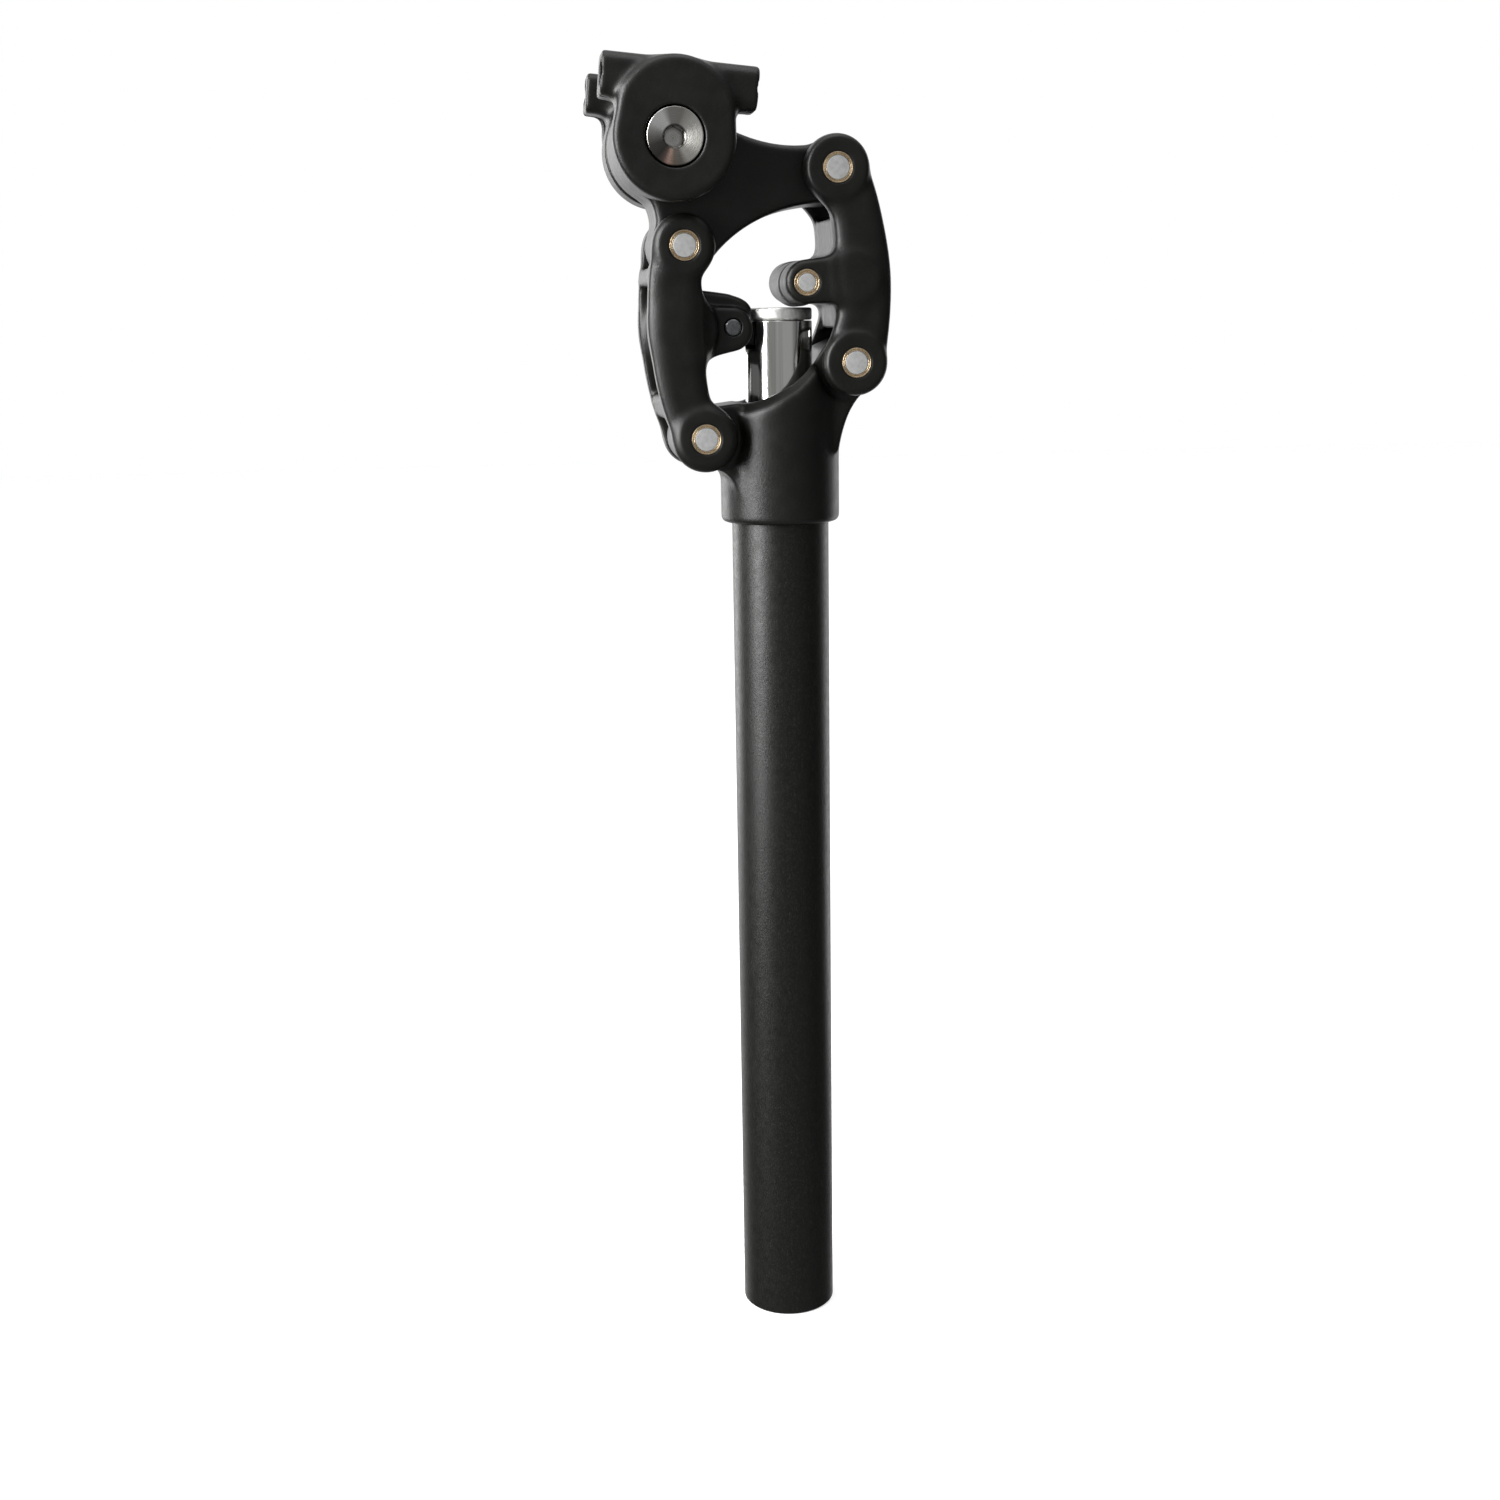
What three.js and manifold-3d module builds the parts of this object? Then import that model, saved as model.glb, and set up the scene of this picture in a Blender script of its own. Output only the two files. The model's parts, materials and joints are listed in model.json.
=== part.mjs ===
// Parallelogram suspension seatpost, millimetres, +Z up along the tube.
// Origin: centre of the tube's lower end. +X is the bicycle's forward, +Y its left.
import * as THREE from 'three';
import { mergeVertices } from 'three/addons/utils/BufferGeometryUtils.js';
import Module from 'manifold-3d';

const wasm = await Module();
wasm.setup();

// ---------------------------------------------------------------- driving dimensions
const GAP = 0.3;                 // left between pieces that touch
const ROUGH = 4;                 // curve divisions along the castings' outlines
const COARSE = 9;                // of small round pieces
const FINE = 14;                 // of bosses and larger round pieces

const tube = { r: 13.6, bore: 11, top: 262, chamfer: 0.6 };
const sleeve = { r: 16.6, bottom: 238.6, corner: 1.6 };
const lipFall = 0.57;            // how steeply the sleeve's lip falls away outward

const rearLower = { x: -22.6, z: 262.5 };
const frontLower = { x: 18.6, z: 282.1 };
const linkRun = { x: -4.9, z: 50.6 };          // from a link's lower pivot to its upper one
const rearUpper = offset(rearLower, linkRun.x, linkRun.z);
const frontUpper = offset(frontLower, linkRun.x, linkRun.z);

const roller = { x: 5.3, z: 303.3, r: 6, half: 5.2 };
const bumper = { x: -14, z: 291.9, r: 4.4, half: 5.2 };
const bolt = { x: -30.5, z: 339.5, r: 4, headR: 7.3 };
const saddleTilt = THREE.MathUtils.degToRad(5.6); // clamps lean this much down to the front

const knuckleHalf = 10.4;        // half width of the knuckles inside the links
const cheekIn = 11.7;            // a link cheek's inner face
const cheekOut = 16.6;           // its outer face
const bossOut = 17.5;            // the raised boss round each pivot
const pivot = { pinR: 3.1, bushBore: 3.25, bushR: 3.95, flangeR: 6.2, flange: 0.7 };
const rollerPivot = { pinR: 2.4, bushBore: 2.55, bushR: 3.45, flangeR: 4.6, flange: 0.7 };
const bumperPinR = 2.3;

const plungerR = 9.3;
const plungerBore = 7;
const plungerTop = roller.z - roller.r - GAP;
const capThickness = 3.3;
const plungerBottom = 200;

const rail = { r: 3.6, y: 22, up: 14.2 };       // saddle rail channel, up from the bolt axis
const wing = { half: 20.3, shift: 0.55, low: 8.3, high: 19.5 };  // shifted forward on the right, back on the left
const clamp = { r: 15.4, inner: knuckleHalf + GAP, split: 22, outer: 28, wingOut: 26.6 };
const brow = 5;                  // how far the outer clamps' discs are carried up
const spigot = { r: 12, from: 18 };

const plugBottom = 3;
const seatBottom = 18.3;
const springBottom = 22.3;
const springTop = 196;
const spring = { coilR: 7.7, wireR: 1.6, turns: 16 };

// ---------------------------------------------------------------- materials
const materials = {
  casting: finish(0x1d1e1d, 0.55, 0.3),
  tubePaint: finish(0x17191a, 0.62, 0.25),
  chrome: finish(0xd6d8da, 0.12, 1),
  capSteel: finish(0xb9bab8, 0.38, 1),
  pinSteel: finish(0xb4b7bb, 0.42, 0.9),
  darkSteel: finish(0x55585a, 0.35, 1),
  stainless: finish(0xa9a6a0, 0.22, 1),
  bronze: finish(0xa8803f, 0.35, 0.9),
  springSteel: finish(0x6f7274, 0.35, 1),
  rubber: finish(0x141414, 0.85, 0),
  nylon: finish(0xd8d4c6, 0.6, 0),
  blackNylon: finish(0x1b1b1c, 0.6, 0),
  elastomer: finish(0xc9a23c, 0.7, 0),
};

function finish(color, roughness, metalness) {
  return new THREE.MeshStandardMaterial({ color, roughness, metalness });
}

// ---------------------------------------------------------------- geometry helpers
function offset(point, dx, dz) {
  return { x: point.x + dx, z: point.z + dz };
}

// A closed three.js geometry as a solid, faces turned outward.
function toSolid(geometry) {
  geometry.deleteAttribute('normal');
  geometry.deleteAttribute('uv');
  const merged = mergeVertices(geometry, 1e-4);
  const position = merged.getAttribute('position');
  const source = merged.getIndex().array;
  const corner = [new THREE.Vector3(), new THREE.Vector3(), new THREE.Vector3()];
  const triangles = [];
  let volume = 0;
  for (let i = 0; i < source.length; i += 3) {
    const [a, b, c] = [source[i], source[i + 1], source[i + 2]];
    if (a === b || b === c || c === a) continue;
    triangles.push([a, b, c]);
    [a, b, c].forEach((id, k) => corner[k].fromBufferAttribute(position, id));
    volume += corner[0].dot(corner[1].clone().cross(corner[2]));
  }
  const outward = volume > 0 ? triangles : triangles.map(([a, b, c]) => [a, c, b]);
  return new wasm.Manifold(new wasm.Mesh({
    numProp: 3,
    vertProperties: Float32Array.from(position.array),
    triVerts: Uint32Array.from(outward.flat()),
  }));
}

// A profile of [radius, height] points turned round the Z axis.
function turned(profile, divisions = COARSE) {
  const points = profile.map(([r, z]) => new THREE.Vector2(r, z));
  return toSolid(new THREE.LatheGeometry(points, 2 * divisions).rotateX(Math.PI / 2));
}

// A profile of [radius, y] points turned round an axis along Y through a place.
function turnedAcross(profile, place, divisions = COARSE) {
  const points = profile.map(([r, y]) => new THREE.Vector2(r, y));
  return toSolid(new THREE.LatheGeometry(points, 2 * divisions).translate(place.x, 0, place.z));
}

function rod(place, r, y0, y1, divisions = COARSE) {
  return turnedAcross([[0, y0], [r, y0], [r, y1], [0, y1]], place, divisions);
}

// A shape drawn in X and Z, made solid from y0 to y1, with its edges chamfered.
function slab(shape, y0, y1, edge = 0, divisions = FINE) {
  const geometry = new THREE.ExtrudeGeometry(shape, {
    depth: y1 - y0 - 2 * edge,
    bevelEnabled: edge > 0,
    bevelThickness: edge,
    bevelSize: edge,
    bevelOffset: -edge,
    bevelSegments: 1,
    curveSegments: divisions,
  });
  return toSolid(geometry.rotateX(Math.PI / 2).translate(0, y1 - edge, 0));
}

// The outline round two circles, [x, z, r] each.
function strap([ax, az, ar], [bx, bz, br]) {
  const along = Math.atan2(bz - az, bx - ax);
  const spread = Math.acos((ar - br) / Math.hypot(bx - ax, bz - az));
  const shape = new THREE.Shape();
  shape.absarc(ax, az, ar, along + spread, along - spread + 2 * Math.PI, false);
  shape.absarc(bx, bz, br, along - spread, along + spread, false);
  return shape;
}

function disc(place, r) {
  return new THREE.Shape().absarc(place.x, place.z, r, 0, 2 * Math.PI, false);
}

function outline(points) {
  return new THREE.Shape(points.map(([x, z]) => new THREE.Vector2(x, z)));
}

// Straps along a chain of circles, joined into one solid.
function chain(circles, y0, y1) {
  const straps = [];
  for (let i = 1; i < circles.length; i += 1) {
    straps.push(slab(strap(circles[i - 1], circles[i]), y0, y1, 0, ROUGH));
  }
  return join(straps);
}

function join(solids) {
  return solids.reduce((whole, solid) => whole.add(solid));
}

function cut(solid, tools) {
  return tools.reduce((rest, tool) => rest.subtract(tool), solid);
}

// The same solid on both sides of the middle plane.
function bothSides(make) {
  return join([make(1), make(-1)]);
}

// Stations from near to far on one side: side 1 is +Y, side -1 is -Y.
function span(side, near, far) {
  return side > 0 ? [near, far] : [-far, -near];
}

function named(name, solid, material) {
  const data = solid.getMesh();
  const geometry = new THREE.BufferGeometry();
  geometry.setAttribute('position', new THREE.BufferAttribute(data.vertProperties, 3));
  geometry.setIndex(new THREE.BufferAttribute(data.triVerts, 1));
  geometry.computeVertexNormals();
  const mesh = new THREE.Mesh(geometry, material);
  mesh.name = name;
  return mesh;
}

function circle(place, r) {
  return [place.x, place.z, r];
}

// ---------------------------------------------------------------- tube and lower body
function seatTube() {
  const c = tube.chamfer;
  return turned([
    [tube.bore, c], [tube.bore + c, 0], [tube.r - c, 0], [tube.r, c],
    [tube.r, tube.top], [tube.bore, tube.top], [tube.bore, c],
  ], FINE);
}

// The sleeve over the tube, tall enough to be trimmed by the rim.
function sleeveBlank() {
  const bore = tube.r + GAP;
  const shoulder = tube.top + GAP;
  const { r, bottom, corner } = sleeve;
  return turned([
    [bore, bottom], [r - corner, bottom], [r - 0.4, bottom + 0.5], [r, bottom + corner],
    [r, 300], [tube.bore, 300], [tube.bore, shoulder + 2],
    [bore - 0.8, shoulder + 2], [bore - 0.8, shoulder], [bore, shoulder], [bore, bottom],
  ], FINE);
}

// Side view of everything below the sloping mouth.
function rimShape() {
  const shape = new THREE.Shape();
  shape.moveTo(-40, 230);
  shape.lineTo(40, 230);
  shape.lineTo(40, 286.8);
  shape.lineTo(11.5, 286.8);
  shape.lineTo(5, 280);
  shape.quadraticCurveTo(-1, 275.2, -6, 273.5);
  shape.quadraticCurveTo(-10, 272.2, -19, 271.5);
  shape.lineTo(-40, 271.5);
  return shape;
}

function frontGusset() {
  const shape = new THREE.Shape();
  shape.moveTo(23.4, 275.2);
  shape.quadraticCurveTo(20.2, 272.4, 18.5, 269.3);
  shape.quadraticCurveTo(16.4, 265.4, 15, 258);
  shape.lineTo(6, 258);
  shape.lineTo(6, 280.4);
  shape.lineTo(12, 287.2);
  return shape;
}

function rearGusset() {
  return outline([
    [-22.6, 270.5], [-12, 271.8], [-8, 244.5], [-12.3, 246.3], [-13.3, 248.9], [-14.4, 250.6], [-16.9, 252.9],
    [-20.5, 254.4], [-27.4, 258],
  ]);
}

// The sleeve cut to the mouth, with its lip bevelled outward.
function mouthedSleeve() {
  const cutBack = sleeveBlank().intersect(slab(rimShape(), -30, 30, 0, 6));
  return cutBack.warp((point) => {
    if (point[2] > 268) point[2] -= lipFall * (Math.hypot(point[0], point[1]) - tube.bore);
  });
}

function lowerBody() {
  const wide = 30;
  const knuckles = join([
    slab(disc(frontLower, 8.4), -knuckleHalf, knuckleHalf, 0, COARSE),
    slab(frontGusset(), -knuckleHalf, knuckleHalf, 0, 5),
    slab(disc(rearLower, 8), -knuckleHalf, knuckleHalf, 0, COARSE),
    slab(rearGusset(), -knuckleHalf, knuckleHalf, 0, 5),
  ]);
  const throat = turned([[0, 230], [tube.bore, 230], [tube.bore, 310], [0, 310]], FINE);
  const socket = turned([[0, 230], [tube.r + GAP, 230], [tube.r + GAP, 262.3], [0, 262.3]], FINE);
  const collar = turned([[0, 262], [13.1, 262], [13.1, 264.3], [0, 264.3]], FINE);
  const pockets = bothSides((side) => {
    const [y0, y1] = span(side, knuckleHalf + GAP, wide);
    return join([rod(frontLower, 10.4, y0, y1, FINE), rod(rearLower, 11, y0, y1, FINE)]);
  });
  return cut(mouthedSleeve().add(knuckles), [
    throat, socket, collar, pockets,
    rod(frontLower, pivot.pinR + GAP, -wide, wide),
    rod(rearLower, pivot.pinR + GAP, -wide, wide),
  ]);
}

// Sleeve with a flange that sits on the tube's upper end and guides the plunger.
function guideBush() {
  const inner = plungerR + GAP;
  const outer = tube.bore - GAP;
  const seat = tube.top + GAP;
  return turned([
    [inner, 236], [outer, 236], [outer, seat], [12.8, seat], [12.8, seat + 1.7],
    [inner, seat + 1.7], [inner, 236],
  ], FINE);
}

// ---------------------------------------------------------------- spring pack
function preloadPlug() {
  const outer = tube.bore - GAP;
  const body = turned([
    [0, plugBottom], [outer - 0.8, plugBottom], [outer, plugBottom + 0.8],
    [outer, seatBottom - GAP], [0, seatBottom - GAP],
  ]);
  return cut(body, [hexPrism(3.46, plugBottom - 1, plugBottom + 9)]);
}

function hexPrism(cornerR, z0, z1) {
  return turned([[0, z0], [cornerR, z0], [cornerR, z1], [0, z1]], 3);
}

function springSeat() {
  const outer = tube.bore - GAP;
  return turned([[0, seatBottom], [outer, seatBottom], [outer, springBottom - GAP], [0, springBottom - GAP]]);
}

function mainSpring() {
  const low = springBottom + spring.wireR + GAP;
  const high = springTop - spring.wireR - GAP;
  class Coil extends THREE.Curve {
    getPoint(t, target = new THREE.Vector3()) {
      const turn = 2 * Math.PI * spring.turns * t;
      const z = THREE.MathUtils.lerp(low, high, t);
      return target.set(spring.coilR * Math.cos(turn), spring.coilR * Math.sin(turn), z);
    }
  }
  const wire = new THREE.Shape().absarc(0, 0, spring.wireR, 0, 2 * Math.PI, false);
  return toSolid(new THREE.ExtrudeGeometry(wire, {
    steps: spring.turns * 8,
    extrudePath: new Coil(),
    curveSegments: 3,
  }));
}

function elastomerCore() {
  return turned([[0, springBottom], [4.6, springBottom], [5.2, 24], [5.2, 164], [4.6, 166], [0, 166]], 8);
}

function springTopWasher() {
  const top = plungerBottom - GAP;
  return turned([
    [0, 188], [5, 188], [5.6, 189], [5.6, springTop], [9, springTop], [9, top],
    [plungerBore - GAP, top], [plungerBore - GAP, top + 6], [0, top + 6],
  ]);
}

// ---------------------------------------------------------------- plunger
function plunger() {
  const top = plungerTop - capThickness - GAP;
  return turned([
    [plungerBore, plungerBottom], [plungerR, plungerBottom], [plungerR, 206], [8.3, 206],
    [8.3, 218], [plungerR, 218], [plungerR, top], [plungerBore, top], [plungerBore, plungerBottom],
  ], FINE);
}

function slideRing() {
  const outer = tube.bore - GAP;
  return turned([[8.6, 206.3], [outer, 206.3], [outer, 217.7], [8.6, 217.7], [8.6, 206.3]], FINE);
}

function plungerCap() {
  const low = plungerTop - capThickness;
  const edge = 0.5;
  return turned([
    [0, low - 8], [plungerBore - GAP, low - 8], [plungerBore - GAP, low], [plungerR, low],
    [plungerR, plungerTop - edge], [plungerR - edge, plungerTop], [0, plungerTop],
  ], FINE);
}

// ---------------------------------------------------------------- pins and bushes
function pin(place, r, half) {
  const c = 0.3;
  return turnedAcross([[0, -half], [r - c, -half], [r, c - half], [r, half - c], [r - c, half], [0, half]], place);
}

// A pin with low domed heads.
function domedPin(place, r, half) {
  const c = 0.8;
  return turnedAcross([
    [0, -half - 0.3], [r - c, -half], [r, c - half], [r, half - c], [r - c, half], [0, half + 0.3],
  ], place);
}

// A flanged bush in a cheek, its flange on the inner side.
function bush(place, size, side, inner, outer) {
  const flange = [inner - GAP - size.flange, inner - GAP].map((y) => side * y);
  const out = side * outer;
  return turnedAcross([
    [size.bushBore, flange[0]], [size.flangeR, flange[0]], [size.flangeR, flange[1]],
    [size.bushR, flange[1]], [size.bushR, out], [size.bushBore, out], [size.bushBore, flange[0]],
  ], place);
}

// ---------------------------------------------------------------- rear link
const rearPath = [
  circle(rearUpper, 7.7), [-29.4, 307.5, 7.1], [-30.3, 299, 7], [-30.2, 289, 6.8], [-28.8, 278.5, 6.8],
  [-26.8, 270, 6.6], circle(rearLower, 8.1),
];

// The arm's thicker middle, that bridges over the bumper.
const rearBridge = [
  [-27, 301.9], [-22, 301.8], [-18, 301.3], [-14.7, 300.8], [-11.4, 299.7], [-9.7, 298.7], [-8.4, 297.1],
  [-8.2, 293], [-10, 288], [-14, 286], [-27, 283],
];

function rearLink() {
  const cheeks = bothSides((side) => join([
    chain(rearPath, ...span(side, cheekIn, cheekOut)),
    slab(disc(rearUpper, 8), ...span(side, cheekIn, bossOut), 0.8, COARSE),
    slab(disc(rearLower, 8.7), ...span(side, cheekIn, bossOut), 1.3, COARSE),
  ]));
  const across = [-cheekIn - 1, cheekIn + 1];
  const backWebs = join([
    slab(strap([-34.9, 305, 2], [-35.1, 306.6, 1.5]), ...across, 0, ROUGH),
    slab(strap([-32, 272.4, 2], [-31, 269.5, 2.1]), ...across, 0, ROUGH),
  ]);
  const arm = join([
    slab(strap([-25, 290.4, 7.3], [bumper.x - 0.4, 291.4, 5.9]), -10.8, 10.8, 0, ROUGH),
    slab(outline(rearBridge), -8, 8),
    slab(strap([-27.6, 291.5, 6.4], [-26, 291.5, 7.4]), ...across, 0, ROUGH),
  ]);
  const slotHalf = bumper.half + GAP;
  const slotR = 5.5;
  const slot = slab(strap([bumper.x, bumper.z, slotR], [bumper.x + 9, bumper.z, slotR]),
    -slotHalf, slotHalf, 0, ROUGH);
  return cut(join([cheeks, backWebs, arm]), [
    slot,
    rod(rearUpper, pivot.bushR + GAP, -30, 30),
    rod(rearLower, pivot.bushR + GAP, -30, 30),
    rod(bumper, bumperPinR + GAP, -30, 30),
  ]);
}

function topOutBumper() {
  const { r, half } = bumper;
  const bore = bumperPinR + GAP;
  return turnedAcross([
    [bore, -half], [r - 0.8, -half], [r, 0.8 - half], [r, half - 0.8], [r - 0.8, half], [bore, half], [bore, -half],
  ], bumper);
}

// ---------------------------------------------------------------- front link
const frontPath = [
  circle(frontUpper, 8.7), [19, 322, 6.6], [21, 308, 7.3], [21.5, 296, 7], circle(frontLower, 8.7),
];

function frontLink() {
  const cheeks = bothSides((side) => join([
    chain(frontPath, ...span(side, cheekIn, cheekOut)),
    slab(disc(frontUpper, 8.7), ...span(side, cheekIn, bossOut), 0.8, COARSE),
    slab(disc(frontLower, 8.7), ...span(side, cheekIn, bossOut), 0.8, COARSE),
  ]));
  // The inner wall that joins the cheeks and carries the roller arm.
  const wall = slab(outline([
    [13, 320.5], [18.5, 320.5], [20, 308], [19.8, 291.3], [14.9, 291.3], [13.6, 308],
  ]), -cheekIn - 1, cheekIn + 1);
  const arm = slab(strap([18.5, 304.6, 6.3], [roller.x, roller.z + 0.2, 5.8]), -cheekOut, cheekOut, 0, 8);
  const slotHalf = roller.half + GAP;
  const slot = slab(strap([roller.x, roller.z, roller.r + 0.8], [roller.x - 12, roller.z, roller.r + 0.8]),
    -slotHalf, slotHalf, 0, ROUGH);
  return cut(join([cheeks, wall, arm]), [
    slot,
    rod(frontUpper, pivot.bushR + GAP, -30, 30),
    rod(frontLower, pivot.bushR + GAP, -30, 30),
    rod(roller, rollerPivot.bushR + GAP, -30, 30),
    // Thrust faces for the roller pin's flanged bushes.
    rod(roller, rollerPivot.flangeR + GAP, -slotHalf - 1.3, slotHalf + 1.3),
  ]);
}

function rollerWheel() {
  const { r, half } = roller;
  const bore = rollerPivot.pinR + GAP;
  return turnedAcross([
    [bore, -half], [r - 0.5, -half], [r, 0.5 - half], [r, half - 0.5], [r - 0.5, half], [bore, half], [bore, -half],
  ], roller, FINE);
}

// ---------------------------------------------------------------- crown
function crownWeb() {
  const shape = new THREE.Shape();
  shape.moveTo(15, frontUpper.z + 8.1);
  shape.quadraticCurveTo(0.5, 336.2, -14.5, 343.5);
  shape.lineTo(-24, 353);
  shape.lineTo(-36.9, 327);
  shape.quadraticCurveTo(-34.4, 323.6, -34.2, 319.5);
  shape.lineTo(-34.7, 314);
  shape.lineTo(-21, 307.6);
  shape.quadraticCurveTo(-12.6, 319.6, 3, 323.2);
  shape.quadraticCurveTo(9, 324.4, 15, 324.6);
  return shape;
}

function crown() {
  const half = knuckleHalf;
  const solid = join([
    slab(crownWeb(), -half, half, 0, 6),
    slab(disc(bolt, 14.8), -half, half),
    slab(disc(rearUpper, 8), -half, half, 0, COARSE),
    slab(disc(frontUpper, 8.3), -half, half, 0, COARSE),
  ]);
  return cut(solid, [
    rod(bolt, bolt.r + GAP, -30, 30),
    rod(rearUpper, pivot.pinR + GAP, -30, 30),
    rod(frontUpper, pivot.pinR + GAP, -30, 30),
  ]);
}

// ---------------------------------------------------------------- saddle clamps
// Drawn with the bolt axis at the origin and the rails level.
const hub = { x: 0, z: 0 };

function wingShape(side) {
  const r = 1.2;
  const { half, low, high } = wing;
  const middle = -side * wing.shift;
  const shape = new THREE.Shape();
  shape.absarc(middle + half - r, high - r, r, 0, Math.PI / 2, false);
  shape.absarc(middle + r - half, high - r, r, Math.PI / 2, Math.PI, false);
  shape.absarc(middle + r - half, low + r, r, Math.PI, 1.5 * Math.PI, false);
  shape.absarc(middle + half - r, low + r, r, 1.5 * Math.PI, 2 * Math.PI, false);
  return shape;
}

function railChannel(side) {
  const channel = new THREE.CylinderGeometry(rail.r, rail.r, 60, 16);
  return toSolid(channel.rotateZ(Math.PI / 2).translate(0, side * rail.y, rail.up));
}

function innerClamp(side) {
  const face = clamp.split - GAP / 2;
  const body = join([
    slab(disc(hub, clamp.r), ...span(side, clamp.inner, face)),
    slab(wingShape(side), ...span(side, clamp.inner + 3, face), 0, 3),
  ]);
  return cut(body, [
    railChannel(side),
    rod(hub, bolt.r + GAP, -30, 30),
    rod(hub, spigot.r + GAP, ...span(side, spigot.from - GAP / 2, 30), FINE),
  ]);
}

// The nut's disc is smaller than the bolt head's.
const outerDisc = {
  1: strap([0, 0, 14.2], [0, brow, 15.2]),
  '-1': strap([0, 0, 16], [0, brow, 15.6]),
};

function outerClamp(side, recess) {
  const face = clamp.split + GAP / 2;
  const body = join([
    slab(outerDisc[side], ...span(side, face, clamp.outer), 1),
    slab(wingShape(side), ...span(side, face, clamp.wingOut), 0, 3),
    rod(hub, spigot.r, ...span(side, spigot.from + GAP / 2, clamp.outer - 2), FINE),
  ]);
  return cut(body, [railChannel(side), rod(hub, bolt.r + GAP, -40, 40), recess]);
}

const headSeat = 23.6;           // floor of the bolt head's recess, from the middle plane
const nutSeat = 21.8;
const washerThickness = 1.1;
const headDish = 1.6;            // the head's face is a hollow cone round the socket

function clampBolt() {
  const face = -clamp.outer;
  const under = -headSeat - 2 * GAP - washerThickness;
  const head = turnedAcross([
    [0, -22], [0, 27.2], [bolt.r - 0.5, 27.2], [bolt.r, 26.7], [bolt.r, under],
    [bolt.headR, under], [bolt.headR, face + 0.2], [bolt.headR - 0.2, face],
    [3.1, face + headDish], [0, face + headDish],
  ], hub, FINE);
  const socket = new THREE.CylinderGeometry(2.89, 2.89, 6, 6).translate(0, face + 3, 0);
  return cut(head, [toSolid(socket)]);
}

function boltWasher() {
  const low = -headSeat - GAP;
  const high = low - washerThickness;
  return turnedAcross([
    [bolt.r + GAP, low], [7, low], [7, high], [bolt.r + GAP, high], [bolt.r + GAP, low],
  ], hub);
}

function hexAcross(cornerR, y0, y1) {
  return toSolid(new THREE.CylinderGeometry(cornerR, cornerR, y1 - y0, 6).translate(0, (y0 + y1) / 2, 0));
}

function clampNut() {
  const bore = rod(hub, bolt.r + 0.1, 0, 40);
  return cut(hexAcross(7.5, nutSeat + GAP, nutSeat + GAP + 5.2), [bore]);
}

// ---------------------------------------------------------------- assembly
const post = new THREE.Group();
const headClamps = new THREE.Group();
headClamps.position.set(bolt.x, 0, bolt.z);
headClamps.rotation.y = saddleTilt;

post.add(
  named('seat_tube', seatTube(), materials.tubePaint),
  named('lower_body', lowerBody(), materials.casting),
  named('guide_bush', guideBush(), materials.nylon),
  named('preload_plug', preloadPlug(), materials.blackNylon),
  named('spring_seat', springSeat(), materials.pinSteel),
  named('main_spring', mainSpring(), materials.springSteel),
  named('elastomer_core', elastomerCore(), materials.elastomer),
  named('spring_top_washer', springTopWasher(), materials.blackNylon),
  named('plunger', plunger(), materials.chrome),
  named('plunger_slide_ring', slideRing(), materials.nylon),
  named('plunger_cap', plungerCap(), materials.capSteel),
  named('rear_link', rearLink(), materials.casting),
  named('front_link', frontLink(), materials.casting),
  named('crown', crown(), materials.casting),
  named('roller', rollerWheel(), materials.blackNylon),
  named('roller_pin', pin(roller, rollerPivot.pinR, cheekOut), materials.pinSteel),
  named('bumper_pin', domedPin(bumper, bumperPinR, 10.8), materials.darkSteel),
  named('top_out_bumper', topOutBumper(), materials.rubber),
);

const pivots = { rear_lower: rearLower, rear_upper: rearUpper, front_lower: frontLower, front_upper: frontUpper };
const sides = { left: 1, right: -1 };
for (const [place, point] of Object.entries(pivots)) {
  post.add(named(`pin_${place}`, pin(point, pivot.pinR, bossOut), materials.pinSteel));
  for (const [hand, side] of Object.entries(sides)) {
    post.add(named(`bush_${place}_${hand}`, bush(point, pivot, side, cheekIn, bossOut), materials.bronze));
  }
}
for (const [hand, side] of Object.entries(sides)) {
  const inner = roller.half + GAP + 1.3;
  post.add(named(`bush_roller_${hand}`, bush(roller, rollerPivot, side, inner, cheekOut), materials.bronze));
}

const headRecess = rod(hub, bolt.headR + 0.45, -40, -headSeat, FINE);
headClamps.add(
  named('inner_clamp_left', innerClamp(1), materials.casting),
  named('inner_clamp_right', innerClamp(-1), materials.casting),
  named('outer_clamp_left', outerClamp(1, hexAcross(7.9, nutSeat, 40)), materials.casting),
  named('outer_clamp_right', outerClamp(-1, headRecess), materials.casting),
  named('clamp_bolt', clampBolt(), materials.stainless),
  named('clamp_washer', boltWasher(), materials.darkSteel),
  named('clamp_nut', clampNut(), materials.darkSteel),
);
post.add(headClamps);

export default post;
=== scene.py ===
"""Suspension seatpost: the looks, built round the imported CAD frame.

Modelling is in millimetres in the frame's own axes, and meshes are scaled to metres.
Castings are signed distance fields, blended and softened as a casting is, then machined.
Turned pieces are profiles spun round the axis that the CAD node gives.
"""
import json
import math

import bpy
import numpy as np
import openvdb as vdb
from mathutils import Matrix, Vector


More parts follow.
